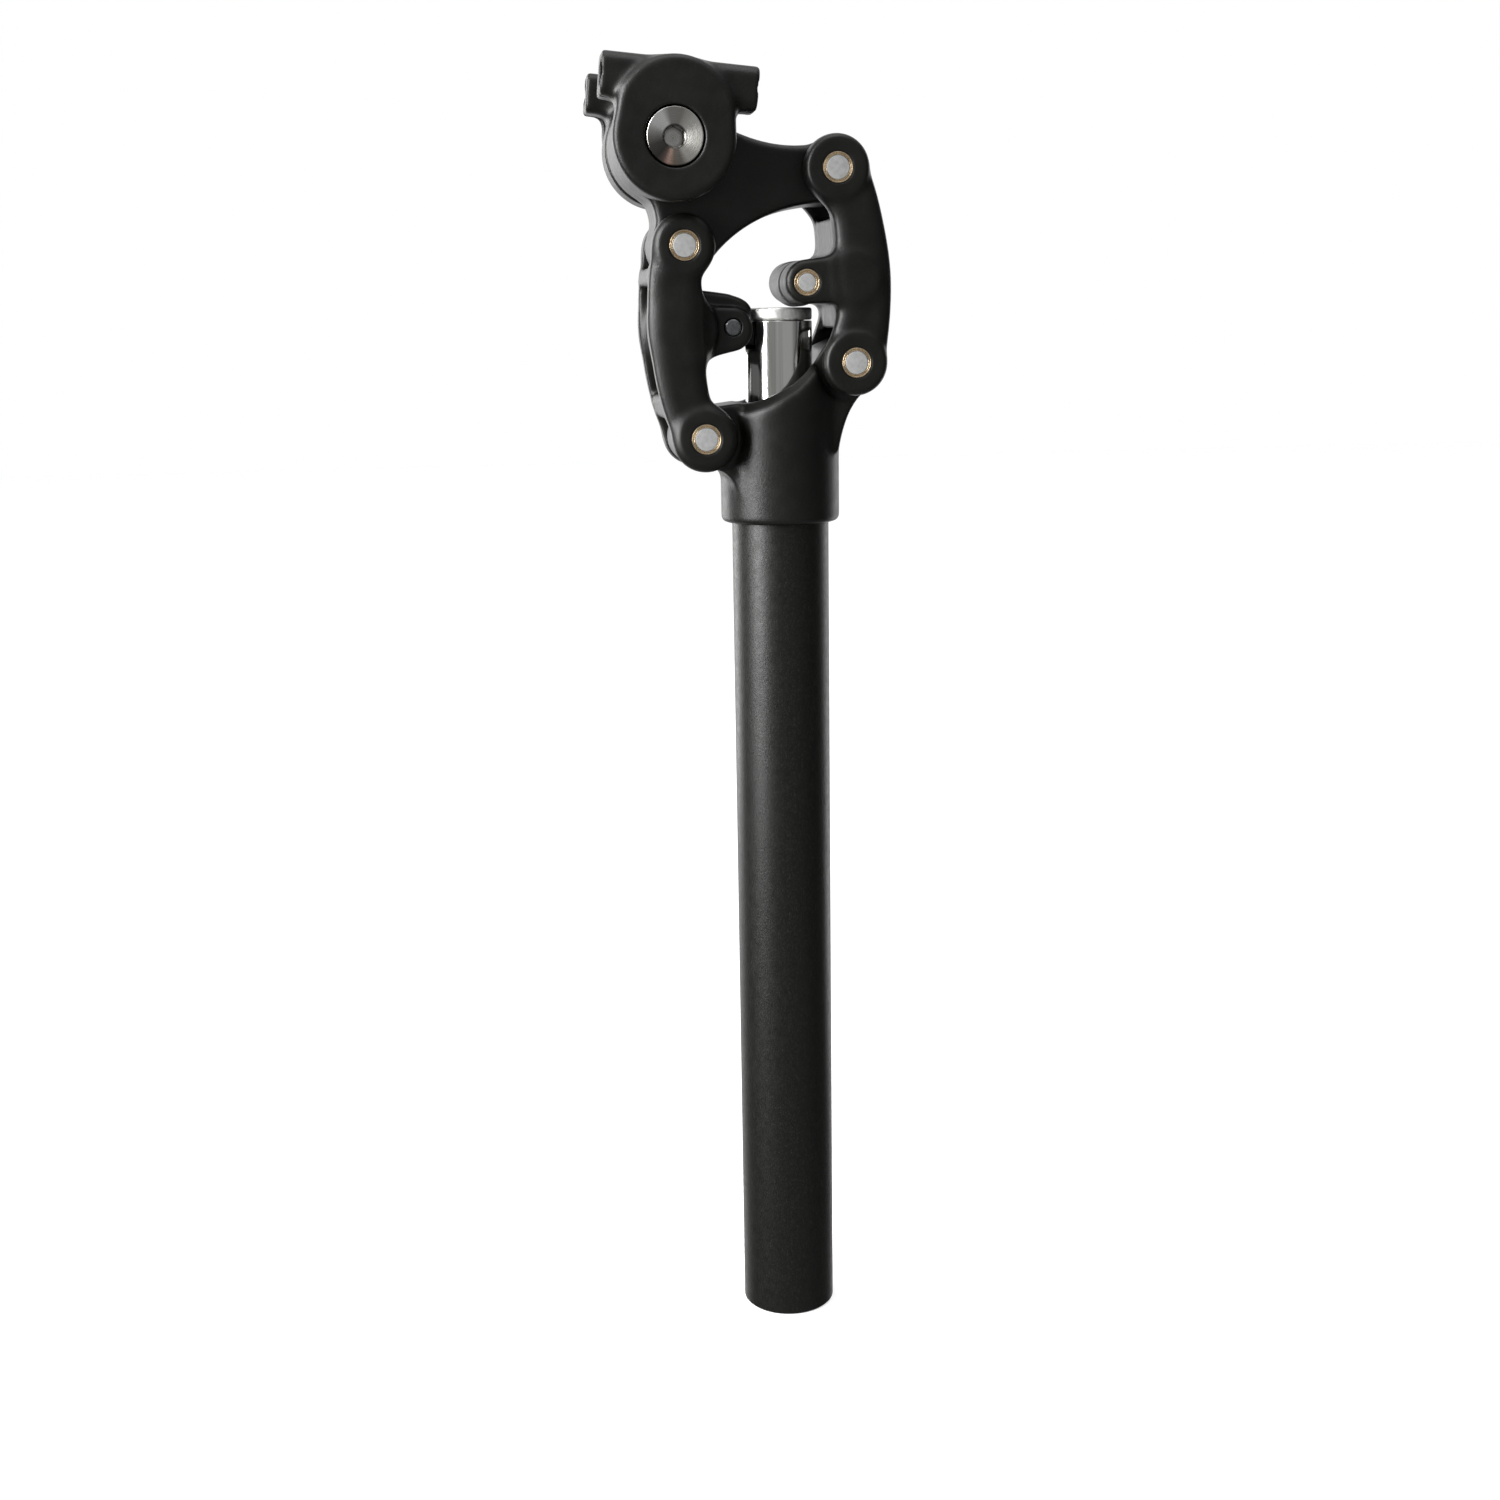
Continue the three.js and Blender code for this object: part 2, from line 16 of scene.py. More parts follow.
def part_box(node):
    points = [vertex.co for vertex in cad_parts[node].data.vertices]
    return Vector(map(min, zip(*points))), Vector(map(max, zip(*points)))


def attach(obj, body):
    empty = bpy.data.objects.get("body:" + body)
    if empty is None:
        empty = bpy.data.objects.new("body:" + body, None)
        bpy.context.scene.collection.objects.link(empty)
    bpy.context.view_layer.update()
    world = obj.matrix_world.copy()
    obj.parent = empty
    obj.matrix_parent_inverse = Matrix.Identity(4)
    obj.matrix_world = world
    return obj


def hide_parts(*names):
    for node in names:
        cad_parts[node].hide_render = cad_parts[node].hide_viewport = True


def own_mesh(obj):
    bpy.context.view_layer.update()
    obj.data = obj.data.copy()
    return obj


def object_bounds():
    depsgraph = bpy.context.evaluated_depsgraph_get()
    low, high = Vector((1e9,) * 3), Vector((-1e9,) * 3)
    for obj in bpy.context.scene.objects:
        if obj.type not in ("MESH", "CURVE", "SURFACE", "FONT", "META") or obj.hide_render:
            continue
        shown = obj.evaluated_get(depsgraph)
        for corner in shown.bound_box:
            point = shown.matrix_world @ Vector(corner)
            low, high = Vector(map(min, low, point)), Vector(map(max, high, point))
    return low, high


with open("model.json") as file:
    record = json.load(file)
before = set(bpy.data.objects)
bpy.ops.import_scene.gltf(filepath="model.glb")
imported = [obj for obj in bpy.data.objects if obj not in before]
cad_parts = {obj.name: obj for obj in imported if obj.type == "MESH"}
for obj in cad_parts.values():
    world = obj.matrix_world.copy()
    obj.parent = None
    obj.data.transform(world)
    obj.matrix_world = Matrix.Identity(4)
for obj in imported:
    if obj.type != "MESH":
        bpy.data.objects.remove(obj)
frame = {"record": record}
cad_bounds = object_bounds()
MM = 0.001


# ------------------------------------------------------------------ places from the frame
def corners(node):
    """Lowest and highest corner of a CAD node, in mm."""
    low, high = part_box(node)
    return np.array(low) / MM, np.array(high) / MM


def centre(node):
    low, high = corners(node)
    return (low + high) / 2


def plane_point(node):
    """A node's centre seen along Y."""
    middle = centre(node)
    return middle[0], middle[2]


REAR_LOWER = plane_point("pin_rear_lower")
REAR_UPPER = plane_point("pin_rear_upper")
FRONT_LOWER = plane_point("pin_front_lower")
FRONT_UPPER = plane_point("pin_front_upper")
ROLLER = plane_point("roller_pin")
BUMPER = plane_point("bumper_pin")
BOLT = plane_point("clamp_bolt")
BOSS_OUT = corners("pin_rear_lower")[1][1]
KNUCKLE_HALF = corners("crown")[1][1]
CHEEK_OUT = corners("roller_pin")[1][1]
CLAMP_OUT = corners("outer_clamp_left")[1][1]
TUBE_R = corners("seat_tube")[1][0]
TUBE_TOP = corners("seat_tube")[1][2]
SLEEVE_LOW = corners("lower_body")[0][2]

# Sizes in mm that the nodes' boxes don't give. PAST_ALL is farther out than anything.
CLAMP_SPLIT = 22.0
SLEEVE_R = 16.6
CHEEK_IN = 11.7
TUBE_BORE_R = 11.0
SLIDE_R = 10.75
SPRING_PART_R = 10.8
BUSH_R = 3.95
ROLLER_BUSH_R = 3.45
PIN_R = 3.1
ROLLER_PIN_R = 2.4
BUMPER_PIN_R = 2.3
BOLT_HOLE_R = 4.2
BUSH_PLAY = 0.08
PIN_PLAY = 0.04
BORE_EASE = 0.3
PAST_ALL = 40

TILT = math.radians(5.6)
PIVOTS = ("rear_lower", "rear_upper", "front_lower", "front_upper")


# ------------------------------------------------------------------ materials
class Recipe:
    """A Principled material with short calls for the nodes that the finishes need."""

    def __init__(self, name, colour, roughness, metallic=0.0):
        self.material = bpy.data.materials.new(name)
        self.material.use_nodes = True
        self.tree = self.material.node_tree
        self.shader = self.tree.nodes["Principled BSDF"]
        self.set("Base Color", (*colour, 1.0))
        self.set("Roughness", roughness)
        self.set("Metallic", metallic)
        coords = self.tree.nodes.new("ShaderNodeTexCoord")
        self.place = coords.outputs["Object"]

    def set(self, socket, value):
        self.shader.inputs[socket].default_value = value

    def link(self, source, socket):
        self.tree.links.new(source, self.shader.inputs[socket])

    def noise(self, scale, detail=2.0, rough=0.5, stretch=None):
        node = self.tree.nodes.new("ShaderNodeTexNoise")
        node.inputs["Scale"].default_value = scale
        node.inputs["Detail"].default_value = detail
        node.inputs["Roughness"].default_value = rough
        source = self.place
        if stretch:
            mapping = self.tree.nodes.new("ShaderNodeMapping")
            mapping.inputs["Scale"].default_value = stretch
            self.tree.links.new(source, mapping.inputs["Vector"])
            source = mapping.outputs["Vector"]
        self.tree.links.new(source, node.inputs["Vector"])
        return node.outputs["Fac"]

    def remap(self, source, low, high, out_low, out_high):
        node = self.tree.nodes.new("ShaderNodeMapRange")
        values = (low, high, out_low, out_high)
        for name, value in zip(("From Min", "From Max", "To Min", "To Max"), values):
            node.inputs[name].default_value = value
        self.tree.links.new(source, node.inputs["Value"])
        return node.outputs["Result"]

    def ramp(self, source, *stops):
        node = self.tree.nodes.new("ShaderNodeValToRGB")
        elements = node.color_ramp.elements
        while len(elements) < len(stops):
            elements.new(0.5)
        for element, (position, colour) in zip(elements, stops):
            element.position = position
            element.color = (*colour, 1.0)
        self.tree.links.new(source, node.inputs["Fac"])
        return node.outputs["Color"]

    def mixed(self, share, first, second):
        """Two colours mixed, by the colour sockets of a Mix node."""
        share_socket, first_socket, second_socket, result_socket = 0, 6, 7, 2
        node = self.tree.nodes.new("ShaderNodeMix")
        node.data_type = "RGBA"
        for socket, source in ((share_socket, share), (first_socket, first), (second_socket, second)):
            self.tree.links.new(source, node.inputs[socket])
        return node.outputs[result_socket]

    def turn_share(self, spoke):
        """How far round the Y axis a point lies, from 0 to 1, counted from the rear."""
        parts = self.tree.nodes.new("ShaderNodeSeparateXYZ")
        self.tree.links.new(spoke, parts.inputs[0])
        angle = self.tree.nodes.new("ShaderNodeMath")
        angle.operation = "ARCTAN2"
        self.tree.links.new(parts.outputs["Z"], angle.inputs[0])
        self.tree.links.new(parts.outputs["X"], angle.inputs[1])
        return self.remap(angle.outputs[0], -math.pi, math.pi, 0.0, 1.0)

    def bump(self, *layers):
        """Bump from (height, strength, distance) layers, one on another."""
        normal = None
        for height, strength, distance in layers:
            node = self.tree.nodes.new("ShaderNodeBump")
            node.inputs["Strength"].default_value = strength
            node.inputs["Distance"].default_value = distance
            self.tree.links.new(height, node.inputs["Height"])
            if normal:
                self.tree.links.new(normal, node.inputs["Normal"])
            normal = node.outputs["Normal"]
        self.link(normal, "Normal")


def cast_paint():
    """Satin black paint over a cast surface: faint orange peel and slow unevenness."""
    paint = Recipe("cast_black_paint", (0.003, 0.0032, 0.003), 0.42)
    paint.set("Specular IOR Level", 0.34)
    broad = paint.noise(90, 3)
    fine = paint.noise(1300, 4, 0.65)
    base = paint.ramp(broad, (0.3, (0.0011, 0.0012, 0.0008)), (0.7, (0.0024, 0.0026, 0.0018)))
    paint.link(base, "Base Color")
    paint.link(paint.remap(paint.noise(260, 4), 0.3, 0.7, 0.38, 0.46), "Roughness")
    paint.bump((fine, 0.3, 0.0002), (broad, 0.15, 0.0003))
    return paint.material


def tube_paint():
    """Fine textured matte powder coat, with the odd lighter speck."""
    paint = Recipe("tube_powder_coat", (0.003, 0.0033, 0.0036), 0.40)
    paint.set("Specular IOR Level", 0.32)
    grain = paint.noise(1300, 4, 0.7)
    specks = paint.noise(5200, 0)
    base = paint.ramp(
        specks,
        (0.0, (0.0014, 0.0015, 0.0010)),
        (0.64, (0.0020, 0.0021, 0.0014)),
        (0.74, (0.014, 0.014, 0.013)),
    )
    paint.link(base, "Base Color")
    paint.link(paint.remap(paint.noise(500, 4), 0.3, 0.7, 0.36, 0.45), "Roughness")
    paint.bump((grain, 0.3, 0.0002))
    return paint.material


def chrome():
    """Polished hard chrome with hair-fine lengthwise polishing marks."""
    metal = Recipe("polished_chrome", (0.86, 0.86, 0.84), 0.09, 1.0)
    marks = metal.noise(900, 4, 0.6, stretch=(1, 1, 0.04))
    streaks = metal.noise(420, 3, 0.6, stretch=(1, 1, 0.01))
    metal.link(metal.ramp(streaks, (0.36, (0.60, 0.60, 0.57)), (0.52, (0.90, 0.90, 0.88))), "Base Color")
    metal.link(metal.remap(marks, 0.35, 0.7, 0.05, 0.16), "Roughness")
    metal.bump((marks, 0.05, 0.00003))
    return metal.material


def cap_steel():
    """Satin steel cap, scuffed where the roller bears."""
    metal = Recipe("satin_cap_steel", (0.85, 0.85, 0.83), 0.42, 1.0)
    scuffs = metal.noise(700, 5, 0.7)
    dents = metal.noise(1500, 2, 0.6)
    metal.link(metal.ramp(scuffs, (0.3, (0.86, 0.86, 0.84)), (0.6, (0.98, 0.98, 0.96))), "Base Color")
    metal.link(metal.remap(scuffs, 0.35, 0.65, 0.38, 0.55), "Roughness")
    metal.bump((dents, 0.35, 0.0002))
    return metal.material


def pin_steel():
    """Ground pin ends: pale, satin, faintly mottled."""
    metal = Recipe("ground_pin_steel", (0.25, 0.252, 0.25), 0.5, 0.35)
    cloud = metal.noise(900, 4, 0.6)
    metal.link(metal.ramp(cloud, (0.3, (0.21, 0.213, 0.21)), (0.7, (0.28, 0.284, 0.28))), "Base Color")
    metal.link(metal.remap(cloud, 0.3, 0.7, 0.44, 0.58), "Roughness")
    metal.bump((metal.noise(4000, 1), 0.06, 0.00004))
    return metal.material


def bronze():
    """Sintered bronze, a little darker in its pores."""
    metal = Recipe("sintered_bronze", (0.52, 0.40, 0.25), 0.28, 0.9)
    pores = metal.noise(3200, 3, 0.7)
    metal.link(metal.ramp(pores, (0.32, (0.30, 0.22, 0.13)), (0.5, (0.56, 0.44, 0.29))), "Base Color")
    metal.link(metal.remap(pores, 0.3, 0.6, 0.40, 0.22), "Roughness")
    metal.bump((pores, 0.15, 0.00005))
    return metal.material


# The bolt head's painted reflection sectors round a turn, and its socket's painted shade from the axis to
# the wall.
PAINTED_REFLECTION_RAYS = (
    (0.0, (0.38, 0.37, 0.35)), (0.055, (0.14, 0.13, 0.12)), (0.13, (0.06, 0.055, 0.05)),
    (0.17, (0.13, 0.10, 0.09)), (0.20, (0.40, 0.27, 0.22)), (0.24, (0.14, 0.12, 0.10)),
    (0.29, (0.13, 0.12, 0.11)), (0.335, (0.38, 0.37, 0.34)), (0.42, (0.44, 0.43, 0.40)),
    (0.52, (0.52, 0.51, 0.48)), (0.62, (0.64, 0.63, 0.60)), (0.67, (0.52, 0.51, 0.48)),
    (0.70, (0.36, 0.35, 0.33)), (0.79, (0.40, 0.39, 0.37)), (0.835, (0.98, 0.98, 0.96)),
    (0.92, (1.0, 1.0, 0.99)), (0.955, (0.66, 0.65, 0.63)), (1.0, (0.38, 0.37, 0.35)),
)
SOCKET_PAINTED_SHADE = (
    (0.0, (0.50, 0.49, 0.47)), (0.5, (0.60, 0.59, 0.57)), (0.75, (0.36, 0.35, 0.33)),
    (0.9, (0.06, 0.06, 0.055)), (1.0, (0.05, 0.05, 0.045)),
)


def turned_stainless_painted_light():
    """Polished stainless, anisotropic across its lathe rings; its base colour is painted by angle round the
    bolt's axis with the bright and dark sectors of a reflection, and painted shade darkens the socket
    towards its wall.
    """
    socket_r, edge_in, edge_out = 3.2 * MM, 2.9 * MM, 3.3 * MM
    metal = Recipe("turned_stainless_painted_light", (0.78, 0.75, 0.71), 0.24, 1.0)
    shift = metal.tree.nodes.new("ShaderNodeMapping")
    shift.inputs["Location"].default_value = (-BOLT[0] * MM, 0.0, -BOLT[1] * MM)
    shift.inputs["Scale"].default_value = (1.0, 0.0, 1.0)
    metal.tree.links.new(metal.place, shift.inputs["Vector"])
    metal.link(shift.outputs["Vector"], "Tangent")
    metal.set("Anisotropic", 0.5)
    radius = metal.tree.nodes.new("ShaderNodeVectorMath")
    radius.operation = "LENGTH"
    metal.tree.links.new(shift.outputs["Vector"], radius.inputs[0])
    # Painted reflection: bright and dark sectors of base colour by angle round the bolt's axis.
    painted_reflections = metal.ramp(metal.turn_share(shift.outputs["Vector"]), *PAINTED_REFLECTION_RAYS)
    past_edge = metal.remap(radius.outputs["Value"], edge_in, edge_out, 0.0, 1.0)
    # Painted shade: the socket's base colour darkens towards its wall.
    well = metal.ramp(metal.remap(radius.outputs["Value"], 0.0, socket_r, 0.0, 1.0), *SOCKET_PAINTED_SHADE)
    metal.link(metal.mixed(past_edge, well, painted_reflections), "Base Color")
    wave = metal.tree.nodes.new("ShaderNodeTexNoise")
    wave.noise_dimensions = "1D"
    wave.inputs["Scale"].default_value = 7000
    wave.inputs["Detail"].default_value = 3
    metal.tree.links.new(radius.outputs["Value"], wave.inputs["W"])
    metal.link(metal.remap(wave.outputs["Fac"], 0.3, 0.7, 0.20, 0.32), "Roughness")
    metal.bump((wave.outputs["Fac"], 0.05, 0.00003))
    return metal.material


def plain_steel(name, colour, roughness):
    """Oxide or phosphate finish: mottled and dry."""
    metal = Recipe(name, colour, roughness, 0.9)
    cloud = metal.noise(800, 4, 0.6)
    darker = tuple(0.7 * c for c in colour)
    metal.link(metal.ramp(cloud, (0.3, darker), (0.7, colour)), "Base Color")
    metal.link(metal.remap(cloud, 0.3, 0.7, roughness - 0.07, roughness + 0.07), "Roughness")
    metal.bump((metal.noise(3000, 2), 0.08, 0.00005))
    return metal.material


def moulded(name, colour, roughness, subsurface=0.0):
    """Moulded plastic, rubber or urethane with a fine eroded texture."""
    stuff = Recipe(name, colour, roughness)
    stuff.set("Subsurface Weight", subsurface)
    stuff.set("Subsurface Radius", (0.002, 0.0015, 0.001))
    cloud = stuff.noise(300, 3)
    lighter = tuple(min(1.0, 1.18 * c) for c in colour)
    stuff.link(stuff.ramp(cloud, (0.3, colour), (0.7, lighter)), "Base Color")
    stuff.link(stuff.remap(cloud, 0.3, 0.7, roughness - 0.06, roughness + 0.06), "Roughness")
    stuff.bump((stuff.noise(2400, 2), 0.12, 0.00006))
    return stuff.material


FINISHES = {
    "cast_black": cast_paint(),
    "tube_paint": tube_paint(),
    "plunger_chrome": chrome(),
    "cap_steel": cap_steel(),
    "pin_steel": pin_steel(),
    "bronze": bronze(),
    "stainless": turned_stainless_painted_light(),
    "dark_steel": plain_steel("black_oxide_steel", (0.17, 0.175, 0.18), 0.3),
    "spring_steel": plain_steel("phosphated_spring", (0.22, 0.23, 0.24), 0.4),
    "nylon_white": moulded("natural_nylon", (0.72, 0.69, 0.60), 0.5, 0.15),
    "nylon_black": moulded("black_nylon", (0.018, 0.018, 0.019), 0.5),
    "elastomer": moulded("urethane", (0.55, 0.34, 0.06), 0.4, 0.2),
    "rubber_black": moulded("black_rubber", (0.012, 0.012, 0.012), 0.75),
}
SLOT_OF = {part["node"]: part["material_slot"] for part in frame["record"]["subparts"]}
BODY_OF = {node: body for body, nodes in frame["record"]["behaviour"]["bodies"].items() for node in nodes}


# ------------------------------------------------------------------ making pieces
def add_mesh(name, points, faces, sharp_deg=None):
    """A smooth-shaded object from points in mm."""
    mesh = bpy.data.meshes.new(name)
    mesh.from_pydata((np.asarray(points) * MM).tolist(), [], faces)
    mesh.validate()
    mesh.shade_smooth()
    if sharp_deg:
        mesh.set_sharp_from_angle(angle=math.radians(sharp_deg))
    piece = bpy.data.objects.new(name, mesh)
    bpy.context.scene.collection.objects.link(piece)
    return piece


def signed_volume(points, faces):
    """Six times the volume, positive where the faces look outward."""
    total = 0.0
    for face in faces:
        for k in range(1, len(face) - 1):
            total += np.dot(points[face[0]], np.cross(points[face[k]], points[face[k + 1]]))
    return total


def face_outward(piece, points, faces):
    if signed_volume(np.array(points), faces) < 0:
        piece.data.flip_normals()
    return piece


def stand_for(piece, node):
    """The piece takes a CAD node's place, body and finish."""
    piece.data.materials.clear()
    piece.data.materials.append(FINISHES[SLOT_OF[node]])
    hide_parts(node)
    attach(piece, BODY_OF[node])
    return piece


def rounded(profile, radius, closed):
    """The profile's [r, h, ...] corners each turned into a short arc."""
    out = []
    count = len(profile)
    for i, corner in enumerate(profile):
        here = np.array(corner[:2], float)
        at_end = not closed and i in (0, count - 1)
        if at_end or radius <= 0:
            out.append(tuple(corner))
            continue
        before = np.array(profile[i - 1][:2], float) - here
        after = np.array(profile[(i + 1) % count][:2], float) - here
        reach = min(radius, 0.45 * np.linalg.norm(before), 0.45 * np.linalg.norm(after))
        start = here + before / np.linalg.norm(before) * reach
        end = here + after / np.linalg.norm(after) * reach
        for t in (0.0, 0.25, 0.5, 0.75, 1.0):
            point = (1 - t) ** 2 * start + 2 * t * (1 - t) * here + t * t * end
            out.append((*point, *corner[2:]))
    return out


def flat_radius(apothem, sides, angle):
    """How far a regular polygon's side is from its centre at an angle."""
    step = 2 * math.pi / sides
    return apothem / math.cos((angle + step / 2) % step - step / 2)


def spin(name, profile, radius=0.15, closed=True, segments=96):
    """A profile of (r, h) or (r, h, sides) turned round Z, in mm."""
    on_axis = 1e-6
    rings = rounded(profile, radius, closed)
    angles = [2 * math.pi * k / segments for k in range(segments)]
    points = []
    starts = []
    for ring in rings:
        starts.append(len(points))
        if ring[0] < on_axis:
            points.append((0.0, 0.0, ring[1]))
            continue
        for angle in angles:
            r = flat_radius(ring[0], ring[2], angle) if len(ring) > 2 else ring[0]
            points.append((r * math.cos(angle), r * math.sin(angle), ring[1]))
    faces = []
    pairs = len(rings) if closed else len(rings) - 1
    for i in range(pairs):
        j = (i + 1) % len(rings)
        a_axis = rings[i][0] < on_axis
        b_axis = rings[j][0] < on_axis
        if a_axis and b_axis:
            continue
        for k in range(segments):
            n = (k + 1) % segments
            a0, a1 = (starts[i], starts[i]) if a_axis else (starts[i] + k, starts[i] + n)
            b0, b1 = (starts[j], starts[j]) if b_axis else (starts[j] + k, starts[j] + n)
            faces.append(list(dict.fromkeys([a0, a1, b1, b0])))
    return face_outward(add_mesh(name, points, faces, 35), points, faces)


def put(piece, matrix):
    """Bakes a placement in mm into the piece's mesh."""
    scaled = matrix.copy()
    scaled.translation *= MM
    piece.data.transform(scaled)
    return piece


def along_y(x, z):
    """Takes a piece turned round Z to one turned round Y, its +h towards +Y."""
    return Matrix.Translation((x, 0.0, z)) @ Matrix.Rotation(-math.pi / 2, 4, "X")


# Turns the bolt end for end, so that its head is on the right.
HEAD_RIGHT = Matrix.Rotation(math.pi, 4, "X")


# ------------------------------------------------------------------ signed distance fields
BAND = 2.5


class Grid:
    """Sampling points in mm round a box. Distances are negative inside, and kept only within BAND."""

    def __init__(self, low, high, step):
        margin = 3.0
        self.step = step
        self.low = np.array(low, float) - margin
        counts = np.ceil((np.array(high) + margin - self.low) / step).astype(int) + 1
        self.x, self.y, self.z = (
            (self.low[i] + step * np.arange(counts[i])).reshape([-1 if k == i else 1 for k in range(3)])
            for i in range(3)
        )
        self.side = np.abs(self.y)
        self.shape = tuple(counts)

    @classmethod
    def round_node(cls, node, step):
        return cls(*corners(node), step)


def circle(u, v, centre_point, r):
    return np.hypot(u - centre_point[0], v - centre_point[1]) - r


def strap(u, v, a, b):
    """Round two circles (u, v, r) and the tangents between them."""
    du, dv = b[0] - a[0], b[1] - a[1]
    length = math.hypot(du, dv)
    along = ((u - a[0]) * du + (v - a[1]) * dv) / length
    across = np.abs((u - a[0]) * dv - (v - a[1]) * du) / length
    lean = (a[2] - b[2]) / length
    slope = math.sqrt(max(1e-9, 1 - lean * lean))
    where = along * slope - across * lean
    near_a = np.hypot(along, across) - a[2]
    near_b = np.hypot(along - length, across) - b[2]
    flank = across * slope + along * lean - a[2]
    return np.where(where < 0, near_a, np.where(where > length * slope, near_b, flank))


def smooth_path(stops, steps=6):
    """Circles (u, v, r) along a Catmull-Rom curve through the stops."""
    stops = np.array(stops, float)
    padded = np.vstack([2 * stops[0] - stops[1], stops, 2 * stops[-1] - stops[-2]])
    path = []
    for i in range(1, len(padded) - 2):
        p0, p1, p2, p3 = padded[i - 1:i + 3]
        for t in np.arange(steps) / steps:
            bend = 2 * p0 - 5 * p1 + 4 * p2 - p3
            rest = -p0 + 3 * p1 - 3 * p2 + p3
            path.append(0.5 * (2 * p1 + (p2 - p0) * t + bend * t ** 2 + rest * t ** 3))
    path.append(stops[-1])
    return [tuple(p) for p in path]


def ribbon(u, v, stops):
    path = smooth_path(stops)
    return np.minimum.reduce([strap(u, v, a, b) for a, b in zip(path, path[1:])])


def bezier(start, control, end, steps=10):
    t = np.linspace(0, 1, steps + 1)[1:, None]
    points = (1 - t) ** 2 * np.array(start) + 2 * t * (1 - t) * np.array(control) + t * t * np.array(end)
    return [tuple(p) for p in points]


def polygon(u, v, points):
    """Signed distance to a closed outline."""
    shape = np.broadcast(u, v).shape
    nearest = np.full(shape, 1e9)
    inside = np.zeros(shape, bool)
    for (au, av), (bu, bv) in zip(points, points[1:] + points[:1]):
        eu, ev = bu - au, bv - av
        wu, wv = u - au, v - av
        t = np.clip((wu * eu + wv * ev) / (eu * eu + ev * ev + 1e-12), 0, 1)
        nearest = np.minimum(nearest, (wu - t * eu) ** 2 + (wv - t * ev) ** 2)
        crosses = (av > v) != (bv > v)
        side = (bu - au) * (v - av) / (bv - av + 1e-12) + au
        inside ^= crosses & (u < side)
    distance = np.sqrt(nearest)
    return np.where(inside, -distance, distance)


def between(u, low, high):
    """Distance to the nearer of two planes, negative between them."""
    return np.abs(u - (low + high) / 2) - (high - low) / 2


def meet(a, b, edge):
    """Where two faces meet square, their corner rounded."""
    a = a + edge
    b = b + edge
    return np.hypot(np.maximum(a, 0), np.maximum(b, 0)) + np.minimum(np.maximum(a, b), 0) - edge


def block(u, v, low, high, corner=0.0):
    """A rectangle with rounded corners."""
    return meet(between(u, low[0], high[0]), between(v, low[1], high[1]), corner)


def slab(outline, height, low, high, edge=0.0):
    """An outline made solid between two heights, its edges rounded."""
    return meet(outline, between(height, low, high), edge)


def blend(a, b, k):
    """Union with a fillet."""
    overlap = np.maximum(k - np.abs(a - b), 0) / k
    return np.minimum(a, b) - overlap * overlap * k / 4


def carve(solid, tool, k=0.4):
    """The solid less the tool, with the edge eased."""
    return -blend(-solid, tool, k)


def common(a, b, k):
    """What two solids share, with the edge eased."""
    return -blend(-a, -b, k)


def drill(solid, g, place, r, ease=BORE_EASE):
    """A hole through the solid along Y."""
    return carve(solid, circle(g.x, g.z, place, r), ease)


def clear(solid, g, place, r, half, ease=BORE_EASE):
    """A round gap in the solid, along Y, reaching as far as half each way."""
    return carve(solid, slab(circle(g.x, g.z, place, r), g.side, -1, half), ease)


def soften(field, passes):
    """Rounds a casting's edges and creases a little."""
    for _ in range(passes):
        for axis in range(3):
            low = np.take(field, [0], axis)
            high = np.take(field, [-1], axis)
            size = field.shape[axis]
            back = np.concatenate([low, np.take(field, range(size - 1), axis)], axis)
            ahead = np.concatenate([np.take(field, range(1, size), axis), high], axis)
            field = 0.5 * field + 0.25 * (back + ahead)
    return field


def sample(field, spots):
    """The field's value between grid points, spots given in cells."""
    top = np.array(field.shape) - 2
    cell = np.clip(np.floor(spots).astype(int), 0, top)
    frac = np.clip(spots - cell, 0, 1)
    value = 0.0
    for corner in np.ndindex(2, 2, 2):
        weight = np.prod(np.where(corner, frac, 1 - frac), axis=1)
        at = cell + corner
        value = value + weight * field[at[:, 0], at[:, 1], at[:, 2]]
    return value


def settle(field, spots):
    """Moves points onto the zero surface along the field's slope."""
    for _ in range(2):
        value = sample(field, spots)
        slope = np.stack([
            sample(field, spots + 0.5 * axis) - sample(field, spots - 0.5 * axis) for axis in np.eye(3)
        ], axis=1)
        size = np.maximum((slope ** 2).sum(axis=1), 0.05)
        step = np.clip(value / size, -0.7, 0.7)[:, None] * slope
        spots = spots - step
    return spots


def pillow(outline, reach, drop):
    """How far a domed face has fallen at this distance inside its outline."""
    return drop * np.clip(1 + outline / reach, 0, 1) ** 2


def cast_mesh(name, grid, field):
    """The zero surface of a field as a piece."""
    field = np.clip(np.broadcast_to(field, grid.shape), -BAND, BAND).astype(np.float32)
    volume = vdb.FloatGrid(BAND)
    volume.copyFromArray(np.ascontiguousarray(field))
    spots, quads = volume.convertToQuads(isovalue=0.0)
    spots = settle(field, np.asarray(spots, float))
    points = grid.low + spots * grid.step
    quads = np.asarray(quads)
    flip = signed_volume_of_quads(points, quads) < 0
    faces = quads[:, ::-1] if flip else quads
    return add_mesh(name, points, faces.tolist())


def signed_volume_of_quads(points, quads):
    a, b, c, d = (points[quads[:, k]] for k in range(4))
    return np.einsum("ij,ij->i", a, np.cross(b, c) + np.cross(c, d)).sum()


# ------------------------------------------------------------------ castings
# The block between the rear link's cheeks that its arm grows from.
REAR_BRIDGE = [
    (-27, 301.9), (-22, 301.8), (-18, 301.3), (-14.7, 300.8), (-11.4, 299.7), (-9.7, 298.7),
    (-8.4, 297.1), (-8.2, 293), (-10, 288), (-14, 286), (-27, 283),
]


